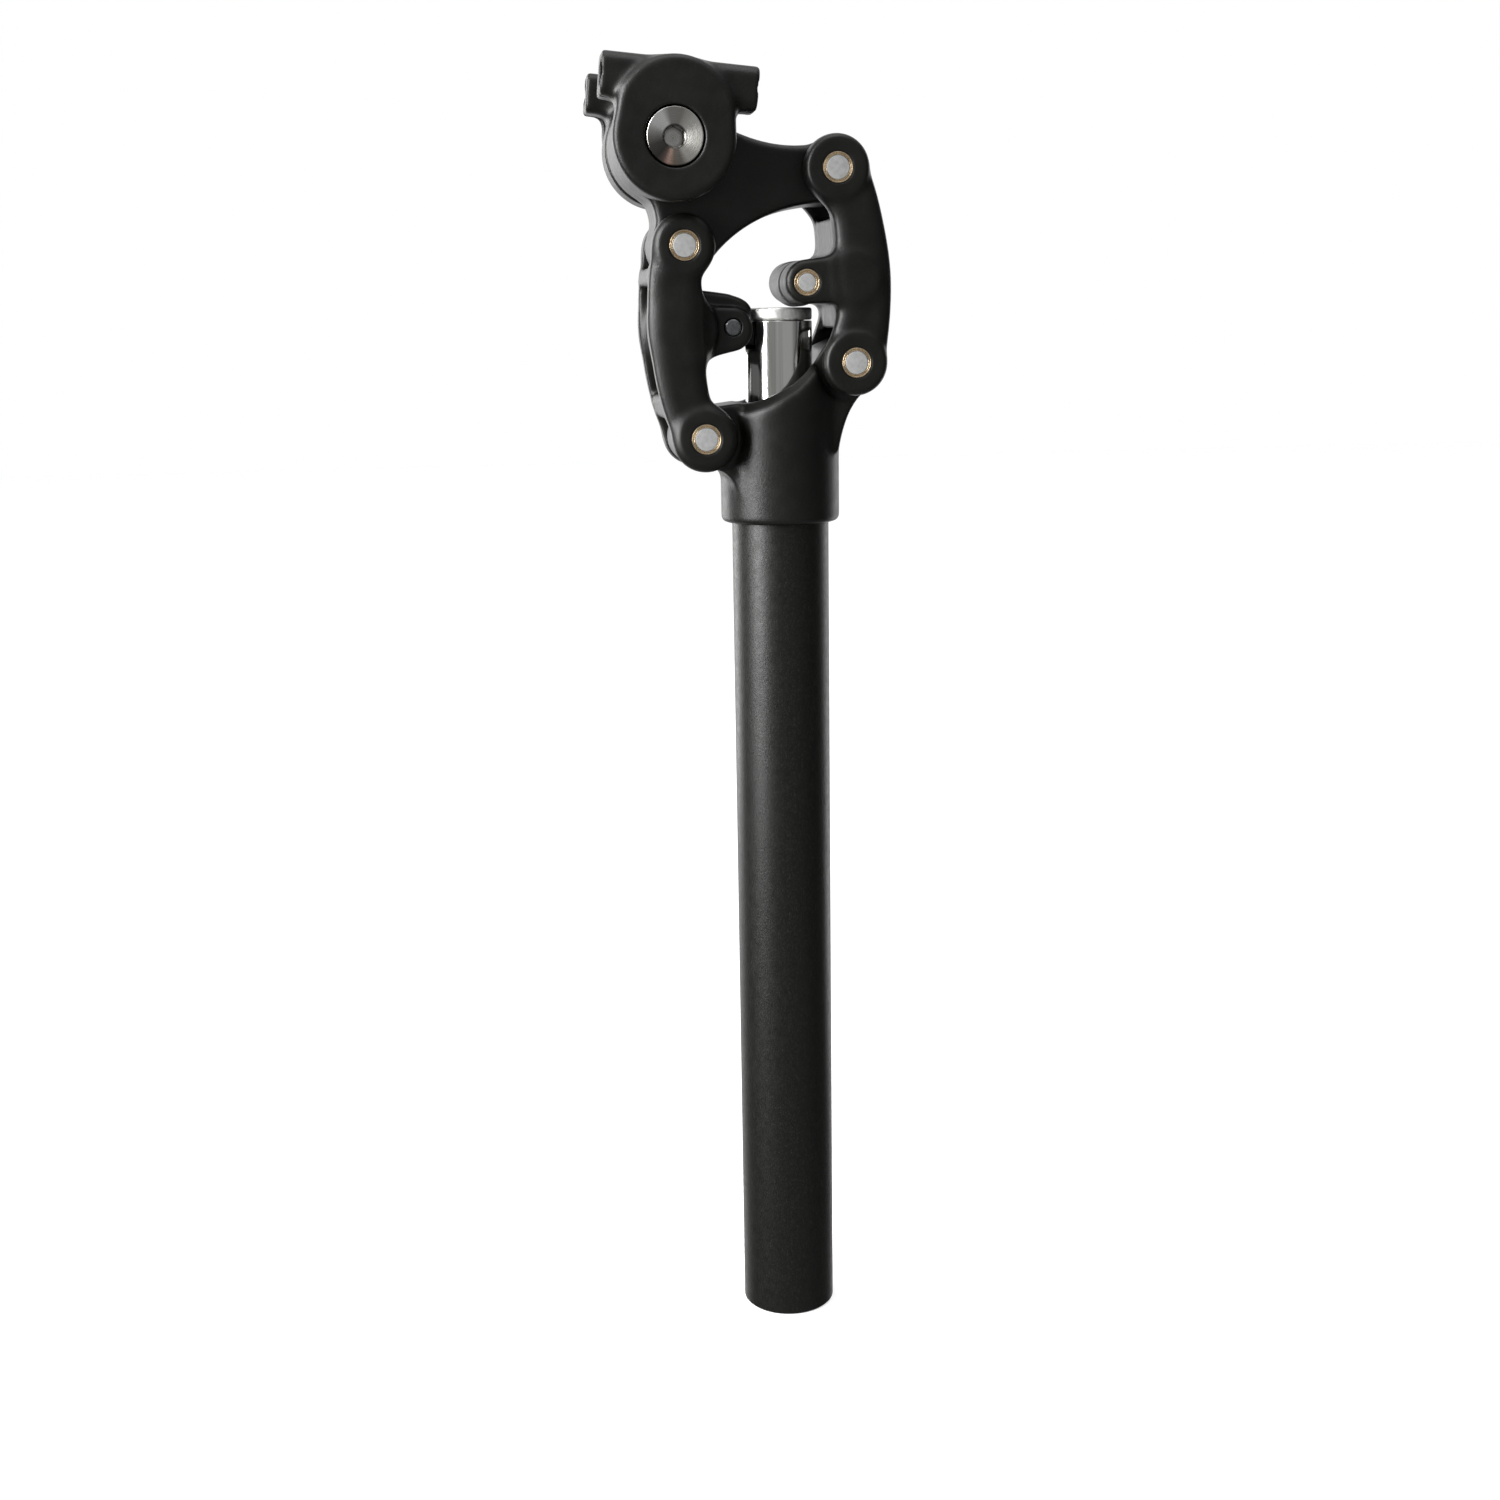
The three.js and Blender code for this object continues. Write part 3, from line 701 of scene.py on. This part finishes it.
def domed_cheek(g, outline, reach=4.5, drop=1.5):
    """A link's cheek, its outer face domed."""
    plate = slab(outline, g.side, CHEEK_IN, CHEEK_OUT + 1, 0.5)
    return common(plate, g.side + pillow(outline, reach, drop) - CHEEK_OUT, 0.8)


def rear_link():
    """Two cheeks, two webs across the back and a forked arm beside the plunger."""
    right_boss_r, left_boss_r = 8.8, 8.3
    slot_r, slot_half = 5.4, 5.5
    g = Grid.round_node("rear_link", 0.36)
    path = [
        (*REAR_UPPER, 7.7), (-29.4, 307.5, 7.1), (-30.3, 299, 7.0), (-30.2, 289, 6.8), (-28.8, 278.5, 6.8),
        (-26.8, 270, 6.6), (*REAR_LOWER, 8.0),
    ]
    solid = domed_cheek(g, ribbon(g.x, g.z, path))
    lower_r = np.where(g.y > 0, left_boss_r, right_boss_r)
    for place, r, edge in ((REAR_UPPER, 8.2, 2.4), (REAR_LOWER, lower_r, 2.8)):
        solid = blend(solid, slab(circle(g.x, g.z, place, r), g.side, CHEEK_IN, BOSS_OUT, edge), 2.0)
    for a, b in (((-34.9, 305, 2.0), (-35.1, 306.6, 1.5)), ((-32, 272.4, 2.0), (-31, 269.5, 2.1))):
        solid = blend(solid, slab(strap(g.x, g.z, a, b), g.side, -1, CHEEK_IN + 1.5, 0.4), 1.5)
    plates = strap(g.x, g.z, (-25, 290.4, 7.3), (BUMPER[0] - 0.4, BUMPER[1] - 0.5, 5.9))
    arm = slab(plates, g.side, -1, 10.8, 1.3)
    root = strap(g.x, g.z, (-27.6, 291.5, 6.4), (-26, 291.5, 7.4))
    arm = blend(arm, slab(root, g.side, -1, CHEEK_IN + 1.5, 0.5), 2.0)
    solid = blend(solid, arm, 6.5)
    solid = blend(solid, slab(polygon(g.x, g.z, REAR_BRIDGE), g.side, -1, 8.0, 1.6), 0.8)
    solid = soften(solid, 3)
    slot = strap(g.x, g.z, (*BUMPER, slot_r), (BUMPER[0] + 9, BUMPER[1], slot_r))
    solid = carve(solid, slab(slot, g.side, -1, slot_half), 0.8)
    solid = common(solid, g.side - BOSS_OUT, 0.3)
    solid = drill(solid, g, BUMPER, BUMPER_PIN_R + 0.1)
    for place in (REAR_UPPER, REAR_LOWER):
        solid = drill(solid, g, place, BUSH_R + BUSH_PLAY)
        solid = clear(solid, g, place, 9.2, CHEEK_IN)
    return stand_for(cast_mesh("rear_link_casting", g, solid), "rear_link")


def front_link():
    """Two cheeks, an inner wall and the forked roller arm."""
    slot_r, slot_half = 6.8, 5.5
    g = Grid.round_node("front_link", 0.36)
    path = [(*FRONT_UPPER, 8.4), (19, 322, 6.6), (21, 308, 7.3), (21.5, 296, 7.0), (*FRONT_LOWER, 8.4)]
    cheek = domed_cheek(g, ribbon(g.x, g.z, path), 4.0, 1.3)
    for place in (FRONT_UPPER, FRONT_LOWER):
        cheek = blend(cheek, slab(circle(g.x, g.z, place, 8.7), g.side, CHEEK_IN, BOSS_OUT, 1.6), 1.2)
    wall = [(13, 320.5), (18.5, 320.5), (20, 308), (19.8, 291.3), (14.9, 291.3), (13.6, 308)]
    wall = slab(polygon(g.x, g.z, wall), g.side, -1, CHEEK_IN + 1.5, 0.4)
    arm_root = (18.5, 304.6, 6.3)
    near = strap(g.x, g.z, arm_root, (ROLLER[0], ROLLER[1] + 0.2, 5.8))
    far = strap(g.x, g.z, arm_root, (ROLLER[0] + 0.3, ROLLER[1] + 0.7, 5.7))
    arm = slab(np.where(g.y > 0, far, near), g.side, -1, CHEEK_OUT, 1.6)
    solid = blend(blend(cheek, arm, 4.0), wall, 2.0)
    solid = soften(solid, 4)
    slot = strap(g.x, g.z, (*ROLLER, slot_r), (ROLLER[0] - 12, ROLLER[1], slot_r))
    solid = carve(solid, slab(slot, g.side, -1, slot_half), 1.0)
    solid = common(solid, g.side - BOSS_OUT, 0.3)
    solid = drill(solid, g, ROLLER, ROLLER_BUSH_R + BUSH_PLAY)
    solid = clear(solid, g, ROLLER, 4.8, 6.8)
    for place in (FRONT_UPPER, FRONT_LOWER):
        solid = drill(solid, g, place, BUSH_R + BUSH_PLAY)
        solid = clear(solid, g, place, 9.4, CHEEK_IN)
    return stand_for(cast_mesh("front_link_casting", g, solid), "front_link")


def crown_outline():
    """The web between the clamp boss and the two upper pivots."""
    points = [(15, FRONT_UPPER[1] + 8.1)]
    points += bezier(points[-1], (0.5, 336.2), (-14.5, 343.5))
    points += [(-24, 353), (-36.9, 327)]
    points += bezier(points[-1], (-34.4, 323.6), (-34.2, 319.5))
    points += [(-34.7, 314), (-21, 307.6)]
    points += bezier(points[-1], (-12.6, 319.6), (3, 323.2))
    points += bezier(points[-1], (9, 324.4), (15, 324.6))
    return points


def crown():
    """The knuckle that the saddle clamps close on, reaching down to both upper pivots."""
    g = Grid.round_node("crown", 0.38)
    outline = polygon(g.x, g.z, crown_outline())
    for place, r in ((REAR_UPPER, 8.0), (FRONT_UPPER, 8.3), (BOLT, 14.8)):
        outline = blend(outline, circle(g.x, g.z, place, r), 1.5)
    solid = soften(slab(outline, g.side, -1, KNUCKLE_HALF, 1.8), 4)
    for place in (REAR_UPPER, FRONT_UPPER):
        solid = drill(solid, g, place, PIN_R + PIN_PLAY)
    solid = drill(solid, g, BOLT, BOLT_HOLE_R, 0.4)
    return stand_for(cast_mesh("crown_casting", g, solid), "crown")


# The sleeve's mouth: the height of its rim at each x.
RIM = (
    (-40, 271.5), (-19, 271.5), (-14, 272.0), (-9, 272.6), (-5, 273.9), (-1, 275.9), (2, 277.5), (5, 280.0),
    (10.2, 285.4), (11.5, 286.8), (40, 286.8),
)
LIP_R = 12.4
LIP_FALL = 0.78


def above_rim(g, radius):
    """Height over the sloping mouth, whose lip falls away outward."""
    level = np.interp(g.x.ravel(), *zip(*RIM)).reshape(g.x.shape)
    steep = np.hypot(1, np.gradient(level, g.step, axis=0))
    return (g.z - level + LIP_FALL * np.maximum(radius - LIP_R, 0)) / np.hypot(steep, LIP_FALL)


def front_gusset():
    points = [(23.4, 275.2)]
    points += bezier(points[-1], (20.2, 272.4), (18.5, 269.3))
    points += bezier(points[-1], (16.4, 265.4), (15, 258))
    return points + [(6, 258), (6, 280.4), (12, 287.2)]


REAR_GUSSET = [
    (-22.6, 270.5), (-12, 271.8), (-8, 244.5), (-12.3, 246.3), (-13.3, 248.9), (-14.4, 250.6),
    (-16.9, 252.9), (-20.5, 254.4), (-27.4, 258),
]


def lower_body():
    """Sleeve with a sloping mouth, and a knuckle in front and behind."""
    guide_r, guide_top, throat_low = 13.1, 264.3, 266
    g = Grid.round_node("lower_body", 0.42)
    radius = np.hypot(g.x, g.y)
    sleeve = meet(radius - SLEEVE_R, SLEEVE_LOW - g.z, 1.6)
    rim = above_rim(g, radius)
    solid = common(sleeve, rim, 1.2)
    front = blend(circle(g.x, g.z, FRONT_LOWER, 8.3), polygon(g.x, g.z, front_gusset()), 1.5)
    rear = blend(circle(g.x, g.z, REAR_LOWER, 8.0), polygon(g.x, g.z, REAR_GUSSET), 1.5)
    for knuckle in (front, rear):
        solid = blend(solid, slab(knuckle, g.side, -1, KNUCKLE_HALF, 1.2), 1.8)
    for place, r in ((FRONT_LOWER, 10.2), (REAR_LOWER, 10.8)):
        solid = carve(solid, slab(circle(g.x, g.z, place, r), g.side, KNUCKLE_HALF, PAST_ALL), 1.2)
    solid = soften(solid, 2)
    throat = radius - TUBE_BORE_R
    chamfer = (throat - rim - 2.2) / math.sqrt(2)
    solid = carve(solid, np.maximum(throat, guide_top - g.z), 0.3)
    solid = carve(solid, np.maximum(chamfer, throat_low - g.z), 0.4)
    solid = carve(solid, np.maximum(radius - guide_r, g.z - guide_top), 0.2)
    solid = carve(solid, np.maximum(radius - TUBE_R - 0.08, g.z - TUBE_TOP - 0.1), 0.3)
    for place in (FRONT_LOWER, REAR_LOWER):
        solid = drill(solid, g, place, PIN_R + PIN_PLAY)
    return stand_for(cast_mesh("lower_body_casting", g, solid), "lower_body")


def clamp_axes(g):
    """The clamps' own level and upright, measured from the bolt."""
    dx, dz = g.x - BOLT[0], g.z - BOLT[1]
    level = dx * math.cos(TILT) - dz * math.sin(TILT)
    upright = dx * math.sin(TILT) + dz * math.cos(TILT)
    return level, upright


# The clamps, measured along their own level and upright. The outer discs are two circles each.
RAIL_UP = 14.2
RAIL_R = 3.55
WING_HALF = 20.3
WING_SHIFT = {"left": -0.55, "right": 0.55}
WING_LOW = 8.3
WING_HIGH = {"left": 18.9, "right": 19.5}
OUTER_DISC = {"left": ((0, 0, 14.2), (0, 5, 15.2)), "right": ((0, 0, 16.0), (0, 4.7, 15.4))}
CLAMP_GAP = 0.12
SPIGOT_R = 12.0
SPIGOT_IN = 18.15
SPIGOT_OUT = 26.0
HEAD_WELL_R = 7.75
HEAD_WELL_IN = 23.6
NUT_WELL_APOTHEM = 6.75
NUT_WELL_IN = 21.8


def rail_channel(g, upright):
    return np.hypot(g.side - CLAMP_SPLIT, upright - RAIL_UP) - RAIL_R


def wing(g, u, v, hand, near, far, corner):
    """A bar along the rail with rounded long edges and crisp ends."""
    section = block(g.side, v, (near, WING_LOW), (far, WING_HIGH[hand]), corner)
    shift = WING_SHIFT[hand]
    return slab(section, u, shift - WING_HALF, shift + WING_HALF, 0.7)


def hexagon(u, v, apothem):
    """A hexagon round the bolt, two of its flats upright."""
    step = math.pi / 3
    angle = np.arctan2(v, u)
    return np.hypot(u, v) * np.cos((angle + math.pi / 2) % step - step / 2) - apothem


def inner_clamp(hand):
    """Drum with a wing each way, recessed for the outer clamp's spigot."""
    node = f"inner_clamp_{hand}"
    g = Grid.round_node(node, 0.33)
    u, v = clamp_axes(g)
    face = CLAMP_SPLIT - CLAMP_GAP
    drum = slab(circle(u, v, (0, 0), 15.2), g.side, KNUCKLE_HALF + 0.3, face + 2, 0.9)
    bar = wing(g, u, v, hand, KNUCKLE_HALF + 3.3, face + 4, 2.6)
    solid = soften(blend(drum, bar, 5.0), 2)
    solid = common(solid, g.side - face, 0.9)
    solid = carve(solid, rail_channel(g, v), 0.4)
    solid = carve(solid, circle(u, v, (0, 0), BOLT_HOLE_R), 0.4)
    recess = circle(u, v, (0, 0), SPIGOT_R + 0.3)
    solid = carve(solid, slab(recess, g.side, SPIGOT_IN - 0.3, PAST_ALL), 0.3)
    return stand_for(cast_mesh(f"{node}_casting", g, solid), node)


def outer_clamp(hand):
    """Disc, raised brow over it and a wing each way, hollowed for the rail."""
    node = f"outer_clamp_{hand}"
    g = Grid.round_node(node, 0.33)
    u, v = clamp_axes(g)
    face = CLAMP_SPLIT + CLAMP_GAP
    disc = slab(strap(u, v, *OUTER_DISC[hand]), g.side, face - 4, CLAMP_OUT, 1.9)
    bar = wing(g, u, v, hand, face - 4, CLAMP_OUT - 2.0, 3.2)
    fillet = np.interp(v, (6, 14), (4.5, 2.0))
    solid = soften(blend(disc, bar, fillet), 2)
    solid = common(solid, face - g.side, 0.9)
    spigot = circle(u, v, (0, 0), SPIGOT_R)
    solid = blend(solid, slab(spigot, g.side, SPIGOT_IN, SPIGOT_OUT, 0.5), 0.3)
    solid = carve(solid, rail_channel(g, v), 0.4)
    solid = carve(solid, circle(u, v, (0, 0), BOLT_HOLE_R), 0.4)
    if hand == "right":
        well = circle(u, v, (0, 0), HEAD_WELL_R)
        solid = carve(solid, slab(well, g.side, HEAD_WELL_IN, PAST_ALL), 0.5)
    else:
        solid = carve(solid, slab(hexagon(u, v, NUT_WELL_APOTHEM), g.side, NUT_WELL_IN, PAST_ALL), 0.4)
    return stand_for(cast_mesh(f"{node}_casting", g, solid), node)


# ------------------------------------------------------------------ turned pieces
def seat_tube():
    low, high = corners("seat_tube")
    r, bore, edge = TUBE_R, TUBE_BORE_R, 0.6
    profile = [(bore, low[2] + edge), (bore + edge, low[2]), (r - edge, low[2]), (r, low[2] + edge)]
    profile += [(r, high[2]), (bore, high[2])]
    stand_for(spin("seat_tube_turned", profile, 0.2, segments=160), "seat_tube")


def guide_bush():
    low, high = corners("guide_bush")
    bore, flange_r = 9.5, 12.8
    lip = TUBE_TOP + 0.2
    profile = [(bore, low[2]), (SLIDE_R, low[2]), (SLIDE_R, lip)]
    profile += [(flange_r, lip), (flange_r, high[2]), (bore, high[2])]
    stand_for(spin("guide_bush_turned", profile, 0.3), "guide_bush")


def plunger():
    """The plunger with a groove for its slide ring, and the cap that the roller bears on."""
    low, high = corners("plunger")
    r, bore, groove_r = high[0], 7, 8.3
    groove_low, groove_high = 206, 218
    top = high[2] + 0.1
    profile = [(bore, low[2]), (r, low[2]), (r, groove_low), (groove_r, groove_low)]
    profile += [(groove_r, groove_high), (r, groove_high), (r, top), (bore, top)]
    stand_for(spin("plunger_turned", profile, 0.25, segments=128), "plunger")
    low, high = corners("plunger_cap")
    stem_r = 6.8
    shoulder = high[2] - 3.3
    profile = [(0, low[2]), (stem_r, low[2]), (stem_r, shoulder), (r, shoulder), (r, high[2]), (0, high[2])]
    stand_for(spin("plunger_cap_turned", profile, 0.7, closed=False, segments=128), "plunger_cap")
    low, high = corners("plunger_slide_ring")
    ring_bore = 8.5
    profile = [(ring_bore, low[2]), (SLIDE_R, low[2]), (SLIDE_R, high[2]), (ring_bore, high[2])]
    stand_for(spin("slide_ring_turned", profile, 0.4), "plunger_slide_ring")


def preload_plug():
    """Plug with a six-sided socket in its underside."""
    low, high = corners("preload_plug")
    key_half, mouth_r = 3.0, 3.9
    socket = low[2] + 9
    profile = [(0, socket), (key_half, socket, 6), (key_half, low[2] + 0.6, 6), (mouth_r, low[2])]
    profile += [(SPRING_PART_R, low[2]), (SPRING_PART_R, high[2]), (0, high[2])]
    stand_for(spin("preload_plug_turned", profile, 0.3, closed=False), "preload_plug")


def spring_seat():
    low, high = corners("spring_seat")
    profile = [(0, low[2]), (SPRING_PART_R, low[2]), (SPRING_PART_R, high[2]), (0, high[2])]
    stand_for(spin("spring_seat_turned", profile, 0.3, closed=False), "spring_seat")


def elastomer_core():
    """A rod waisted at even steps."""
    low, high = corners("elastomer_core")
    r, waist_r, waist_half, spans = 5.2, 4.3, 1.6, 9
    profile = [(0, low[2]), (r, low[2])]
    for k in range(1, spans):
        level = low[2] + k * (high[2] - low[2]) / spans
        profile += [(r, level - waist_half), (waist_r, level), (r, level + waist_half)]
    profile += [(r, high[2]), (0, high[2])]
    stand_for(spin("elastomer_core_turned", profile, 0.7, closed=False, segments=48), "elastomer_core")


def spring_top_washer():
    """Washer with a stem down into the coil and one up into the plunger."""
    low, high = corners("spring_top_washer")
    lower_r, r, upper_r = 5.6, 9, 6.7
    under, over = 196, 199.7
    profile = [(0, low[2]), (lower_r, low[2]), (lower_r, under), (r, under)]
    profile += [(r, over), (upper_r, over), (upper_r, high[2]), (0, high[2])]
    stand_for(spin("spring_top_washer_turned", profile, 0.5, closed=False), "spring_top_washer")


COIL_TURNS = 16
COIL_R = 7.7
WIRE_R = 1.6
STEPS_PER_TURN = 28


def coil(turns, rise, sides=12):
    """Points and faces of a round wire that winds up through these heights."""
    steps = len(rise) - 1
    angle = 2 * math.pi * turns
    points = []
    for k in range(steps + 1):
        out = np.array([math.cos(angle[k]), math.sin(angle[k]), 0.0])
        spot = COIL_R * out + np.array([0, 0, rise[k]])
        for s in range(sides):
            turn = 2 * math.pi * s / sides
            points.append(spot + WIRE_R * (math.cos(turn) * out + math.sin(turn) * np.array([0, 0, 1.0])))
    faces = []
    for k in range(steps):
        for s in range(sides):
            n = (s + 1) % sides
            faces.append([k * sides + s, k * sides + n, (k + 1) * sides + n, (k + 1) * sides + s])
    faces.append(list(range(sides - 1, -1, -1)))
    faces.append([steps * sides + s for s in range(sides)])
    return points, faces


def main_spring():
    """The coil, its ends closed up, in two halves that meet half way up.
    """
    seat_travel, plunger_travel = 6.0, 15.2
    closed_turns, closed_rise = 1.2, 0.022
    low, high = corners("main_spring")
    share = np.linspace(0, 1, COIL_TURNS * STEPS_PER_TURN + 1)
    end = closed_turns / COIL_TURNS
    rise = np.interp(share, [0, end, 1 - end, 1], [0, closed_rise, 1 - closed_rise, 1])
    heights = low[2] + WIRE_R + rise * (high[2] - low[2] - 2 * WIRE_R)
    middle = len(share) // 2
    halves = (
        ("lower", slice(0, middle + 1), "spring_seat_slide", seat_travel, heights[middle] - low[2]),
        ("upper", slice(middle, None), "suspension_travel", plunger_travel, high[2] - heights[middle]),
    )
    for name, part, joint, travel, length in halves:
        points, faces = coil(COIL_TURNS * share[part], heights[part])
        piece = add_mesh(f"main_spring_{name}_coil", points, faces, 50)
        face_outward(piece, points, faces)
        stand_for(piece, "main_spring")
        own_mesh(piece)


def pin(node, r, edge, dome=0.0):
    """A pin along Y, its ends flat or slightly domed."""
    low, high = corners(node)
    x, z = plane_point(node)
    half = (high[1] - low[1]) / 2 - dome
    profile = [(0, -half - dome), (r, -half), (r, half), (0, half + dome)]
    piece = spin(f"{node}_turned", profile, edge, closed=False, segments=64)
    stand_for(put(piece, along_y(x, z)), node)


def bush(node, bore, r):
    """Flanged bush, its flange on the inner side and a shallow groove in its outer end."""
    low, high = corners(node)
    x, z = plane_point(node)
    side = 1 if low[1] > 0 else -1
    flange_r = (high[0] - low[0]) / 2
    outer, inner = (high[1], low[1]) if side > 0 else (low[1], high[1])
    flange = inner + side * 0.9
    groove = outer - side * 0.3
    profile = [(bore, inner), (flange_r, inner), (flange_r, flange), (r, flange), (r, outer)]
    profile += [(r - 0.3, outer), (r - 0.42, groove)]
    profile += [(bore + 0.3, groove), (bore + 0.2, outer), (bore, outer)]
    piece = spin(f"{node}_turned", profile, 0.09, segments=72)
    stand_for(put(piece, along_y(x, z)), node)


def hub_roller(node, bore, edge):
    """A plain roller that turns on a pin along Y."""
    low, high = corners(node)
    x, z = plane_point(node)
    half = high[1]
    r = (high[0] - low[0]) / 2
    profile = [(bore, -half), (r, -half), (r, half), (bore, half)]
    piece = spin(f"{node}_turned", profile, edge)
    stand_for(put(piece, along_y(x, z)), node)


def clamp_bolt():
    """Cap bolt, its head on the right with a six-sided socket."""
    face = CLAMP_OUT
    shank_r, head_r, under_head, tip = 4, 7.3, 25.3, -27.2
    key_half, mouth_r, socket = 2.5, 2.95, face - 6
    profile = [(0, socket), (key_half, socket, 6), (key_half, face - 1.9, 6), (mouth_r, face - 1.6)]
    profile += [(head_r - 0.2, face - 0.1), (head_r, face - 0.25), (head_r, under_head)]
    profile += [(shank_r, under_head), (shank_r, tip), (0, tip)]
    bolt = spin("clamp_bolt_turned", profile, 0.2, closed=False, segments=96)
    stand_for(put(bolt, along_y(*BOLT) @ HEAD_RIGHT), "clamp_bolt")


def clamp_washer():
    bore, r, inner, outer = BOLT_HOLE_R, 7.1, 23.8, 25.1
    profile = [(bore, inner), (r, inner), (r, outer), (bore, outer)]
    washer = spin("clamp_washer_turned", profile, 0.2)
    stand_for(put(washer, along_y(*BOLT) @ HEAD_RIGHT), "clamp_washer")


def clamp_nut():
    """Nut with two flats level, its outer face turned down to a low boss."""
    low, high = corners("clamp_nut")
    bore, half_across, boss_r = 4.1, 6.5, 5.6
    profile = [(bore, low[1]), (half_across, low[1], 6), (half_across, high[1], 6)]
    profile += [(boss_r, high[1] + 0.2), (bore, high[1] + 0.1)]
    nut = spin("clamp_nut_turned", profile, 0.3, segments=96)
    twelfth = Matrix.Rotation(math.pi / 6, 4, "Z")
    stand_for(put(nut, along_y(*BOLT) @ twelfth), "clamp_nut")


# ------------------------------------------------------------------ camera, floor and light
def camera():
    """The viewpoint that the pivots and the tube's outline give."""
    focal_px = 1873.23
    frame_px = 1500
    yaw, pitch, roll = 0.145619, 0.217302, -0.0150725
    spot = Vector((-0.08639, -0.52343, 0.28945))
    ahead = Vector((math.sin(yaw) * math.cos(pitch), math.cos(yaw) * math.cos(pitch), -math.sin(pitch)))
    right = Vector((math.cos(yaw), -math.sin(yaw), 0))
    up = right.cross(ahead)
    right, up = (
        right * math.cos(roll) + up * math.sin(roll),
        up * math.cos(roll) - right * math.sin(roll),
    )
    data = bpy.data.cameras.new("camera")
    data.sensor_width = 36
    data.lens = focal_px / frame_px * data.sensor_width
    view = bpy.data.objects.new("camera", data)
    turn = Matrix((right, up, -ahead)).transposed().to_4x4()
    view.matrix_world = Matrix.Translation(spot) @ turn
    bpy.context.scene.collection.objects.link(view)
    bpy.context.scene.camera = view


def floor():
    """A plain white floor that glows a little, as a light table does."""
    half, grey, glow = 4.0, 0.6, 0.62
    points = [(-half, -half, 0), (half, -half, 0), (half, half, 0), (-half, half, 0)]
    plane = add_mesh("studio_floor", np.array(points) / MM, [[0, 1, 2, 3]])
    white = Recipe("studio_white", (grey, grey, grey), 0.9)
    white.set("Specular IOR Level", 0.0)
    white.set("Emission Color", (1, 1, 1, 1))
    white.set("Emission Strength", glow)
    plane.data.materials.append(white.material)
    plane.location.z = cad_bounds[0][2]
    plane.visible_glossy = False


def area_light(name, spot, target, size, power):
    data = bpy.data.lights.new(name, "AREA")
    data.shape = "RECTANGLE"
    data.size, data.size_y = size
    data.energy = power
    lamp = bpy.data.objects.new(name, data)
    lamp.location = spot
    lamp.rotation_euler = (Vector(target) - Vector(spot)).to_track_quat("-Z", "Y").to_euler()
    bpy.context.scene.collection.objects.link(lamp)


def studio_world():
    """Grey in front, darker at the sides, bright behind and above, plain white where it is looked at."""
    world = bpy.data.worlds.new("studio")
    world.use_nodes = True
    tree = world.node_tree
    shade = tree.nodes["Background"]
    shade.inputs["Color"].default_value = (1, 1, 1, 1)

    def node(kind, **values):
        made = tree.nodes.new(kind)
        for key, value in values.items():
            setattr(made, key, value)
        return made

    def ramp(source, low, high, out_low, out_high):
        made = node("ShaderNodeMapRange", interpolation_type="SMOOTHSTEP")
        values = (low, high, out_low, out_high)
        for name, value in zip(("From Min", "From Max", "To Min", "To Max"), values):
            made.inputs[name].default_value = value
        tree.links.new(source, made.inputs["Value"])
        return made.outputs["Result"]

    way = node("ShaderNodeSeparateXYZ")
    tree.links.new(node("ShaderNodeTexCoord").outputs["Generated"], way.inputs[0])
    sideways = node("ShaderNodeMath", operation="ABSOLUTE")
    tree.links.new(way.outputs["X"], sideways.inputs[0])
    front = ramp(sideways.outputs[0], 0.55, 0.85, 0.27, 0.10)
    behind = ramp(way.outputs["Y"], 0.5, 0.8, 0.0, 0.9)
    above = ramp(way.outputs["Z"], 0.3, 0.95, 0.0, 0.45)
    total = front
    for part in (behind, above):
        both = node("ShaderNodeMath", operation="ADD")
        tree.links.new(total, both.inputs[0])
        tree.links.new(part, both.inputs[1])
        total = both.outputs[0]
    seen = node("ShaderNodeMix", data_type="FLOAT")
    tree.links.new(node("ShaderNodeLightPath").outputs["Is Camera Ray"], seen.inputs["Factor"])
    tree.links.new(total, seen.inputs["A"])
    seen.inputs["B"].default_value = 1.0
    tree.links.new(seen.outputs["Result"], shade.inputs["Strength"])
    bpy.context.scene.world = world


def lights():
    post = (0, 0, 0.25)
    area_light("left_softbox", (-1.09, -0.5, 0.6), post, (0.6, 1.2), 48)
    area_light("top_softbox", (0.0, -0.2, 1.5), post, (1.0, 1.0), 7)
    area_light("left_rim_light", (-0.75, 0.95, 0.45), post, (0.6, 1.2), 10)
    area_light("right_rim_light", (1.0, 0.75, 0.3), post, (0.35, 1.4), 4)
    studio_world()
    bpy.context.scene.view_settings.view_transform = "Standard"


# ------------------------------------------------------------------ the whole post
def build():
    camera()
    floor()
    lights()
    rear_link()
    front_link()
    crown()
    lower_body()
    for hand in ("left", "right"):
        inner_clamp(hand)
        outer_clamp(hand)
        bush(f"bush_roller_{hand}", ROLLER_PIN_R + 0.06, ROLLER_BUSH_R)
        for place in PIVOTS:
            bush(f"bush_{place}_{hand}", PIN_R + BUSH_PLAY, BUSH_R)
    for place in PIVOTS:
        pin(f"pin_{place}", PIN_R, 0.3)
    pin("roller_pin", ROLLER_PIN_R, 0.25)
    pin("bumper_pin", BUMPER_PIN_R, 0.7, dome=0.3)
    hub_roller("roller", ROLLER_PIN_R + 0.05, 0.6)
    hub_roller("top_out_bumper", BUMPER_PIN_R + 0.1, 0.9)
    seat_tube()
    guide_bush()
    plunger()
    preload_plug()
    spring_seat()
    elastomer_core()
    spring_top_washer()
    main_spring()
    clamp_bolt()
    clamp_washer()
    clamp_nut()


build()
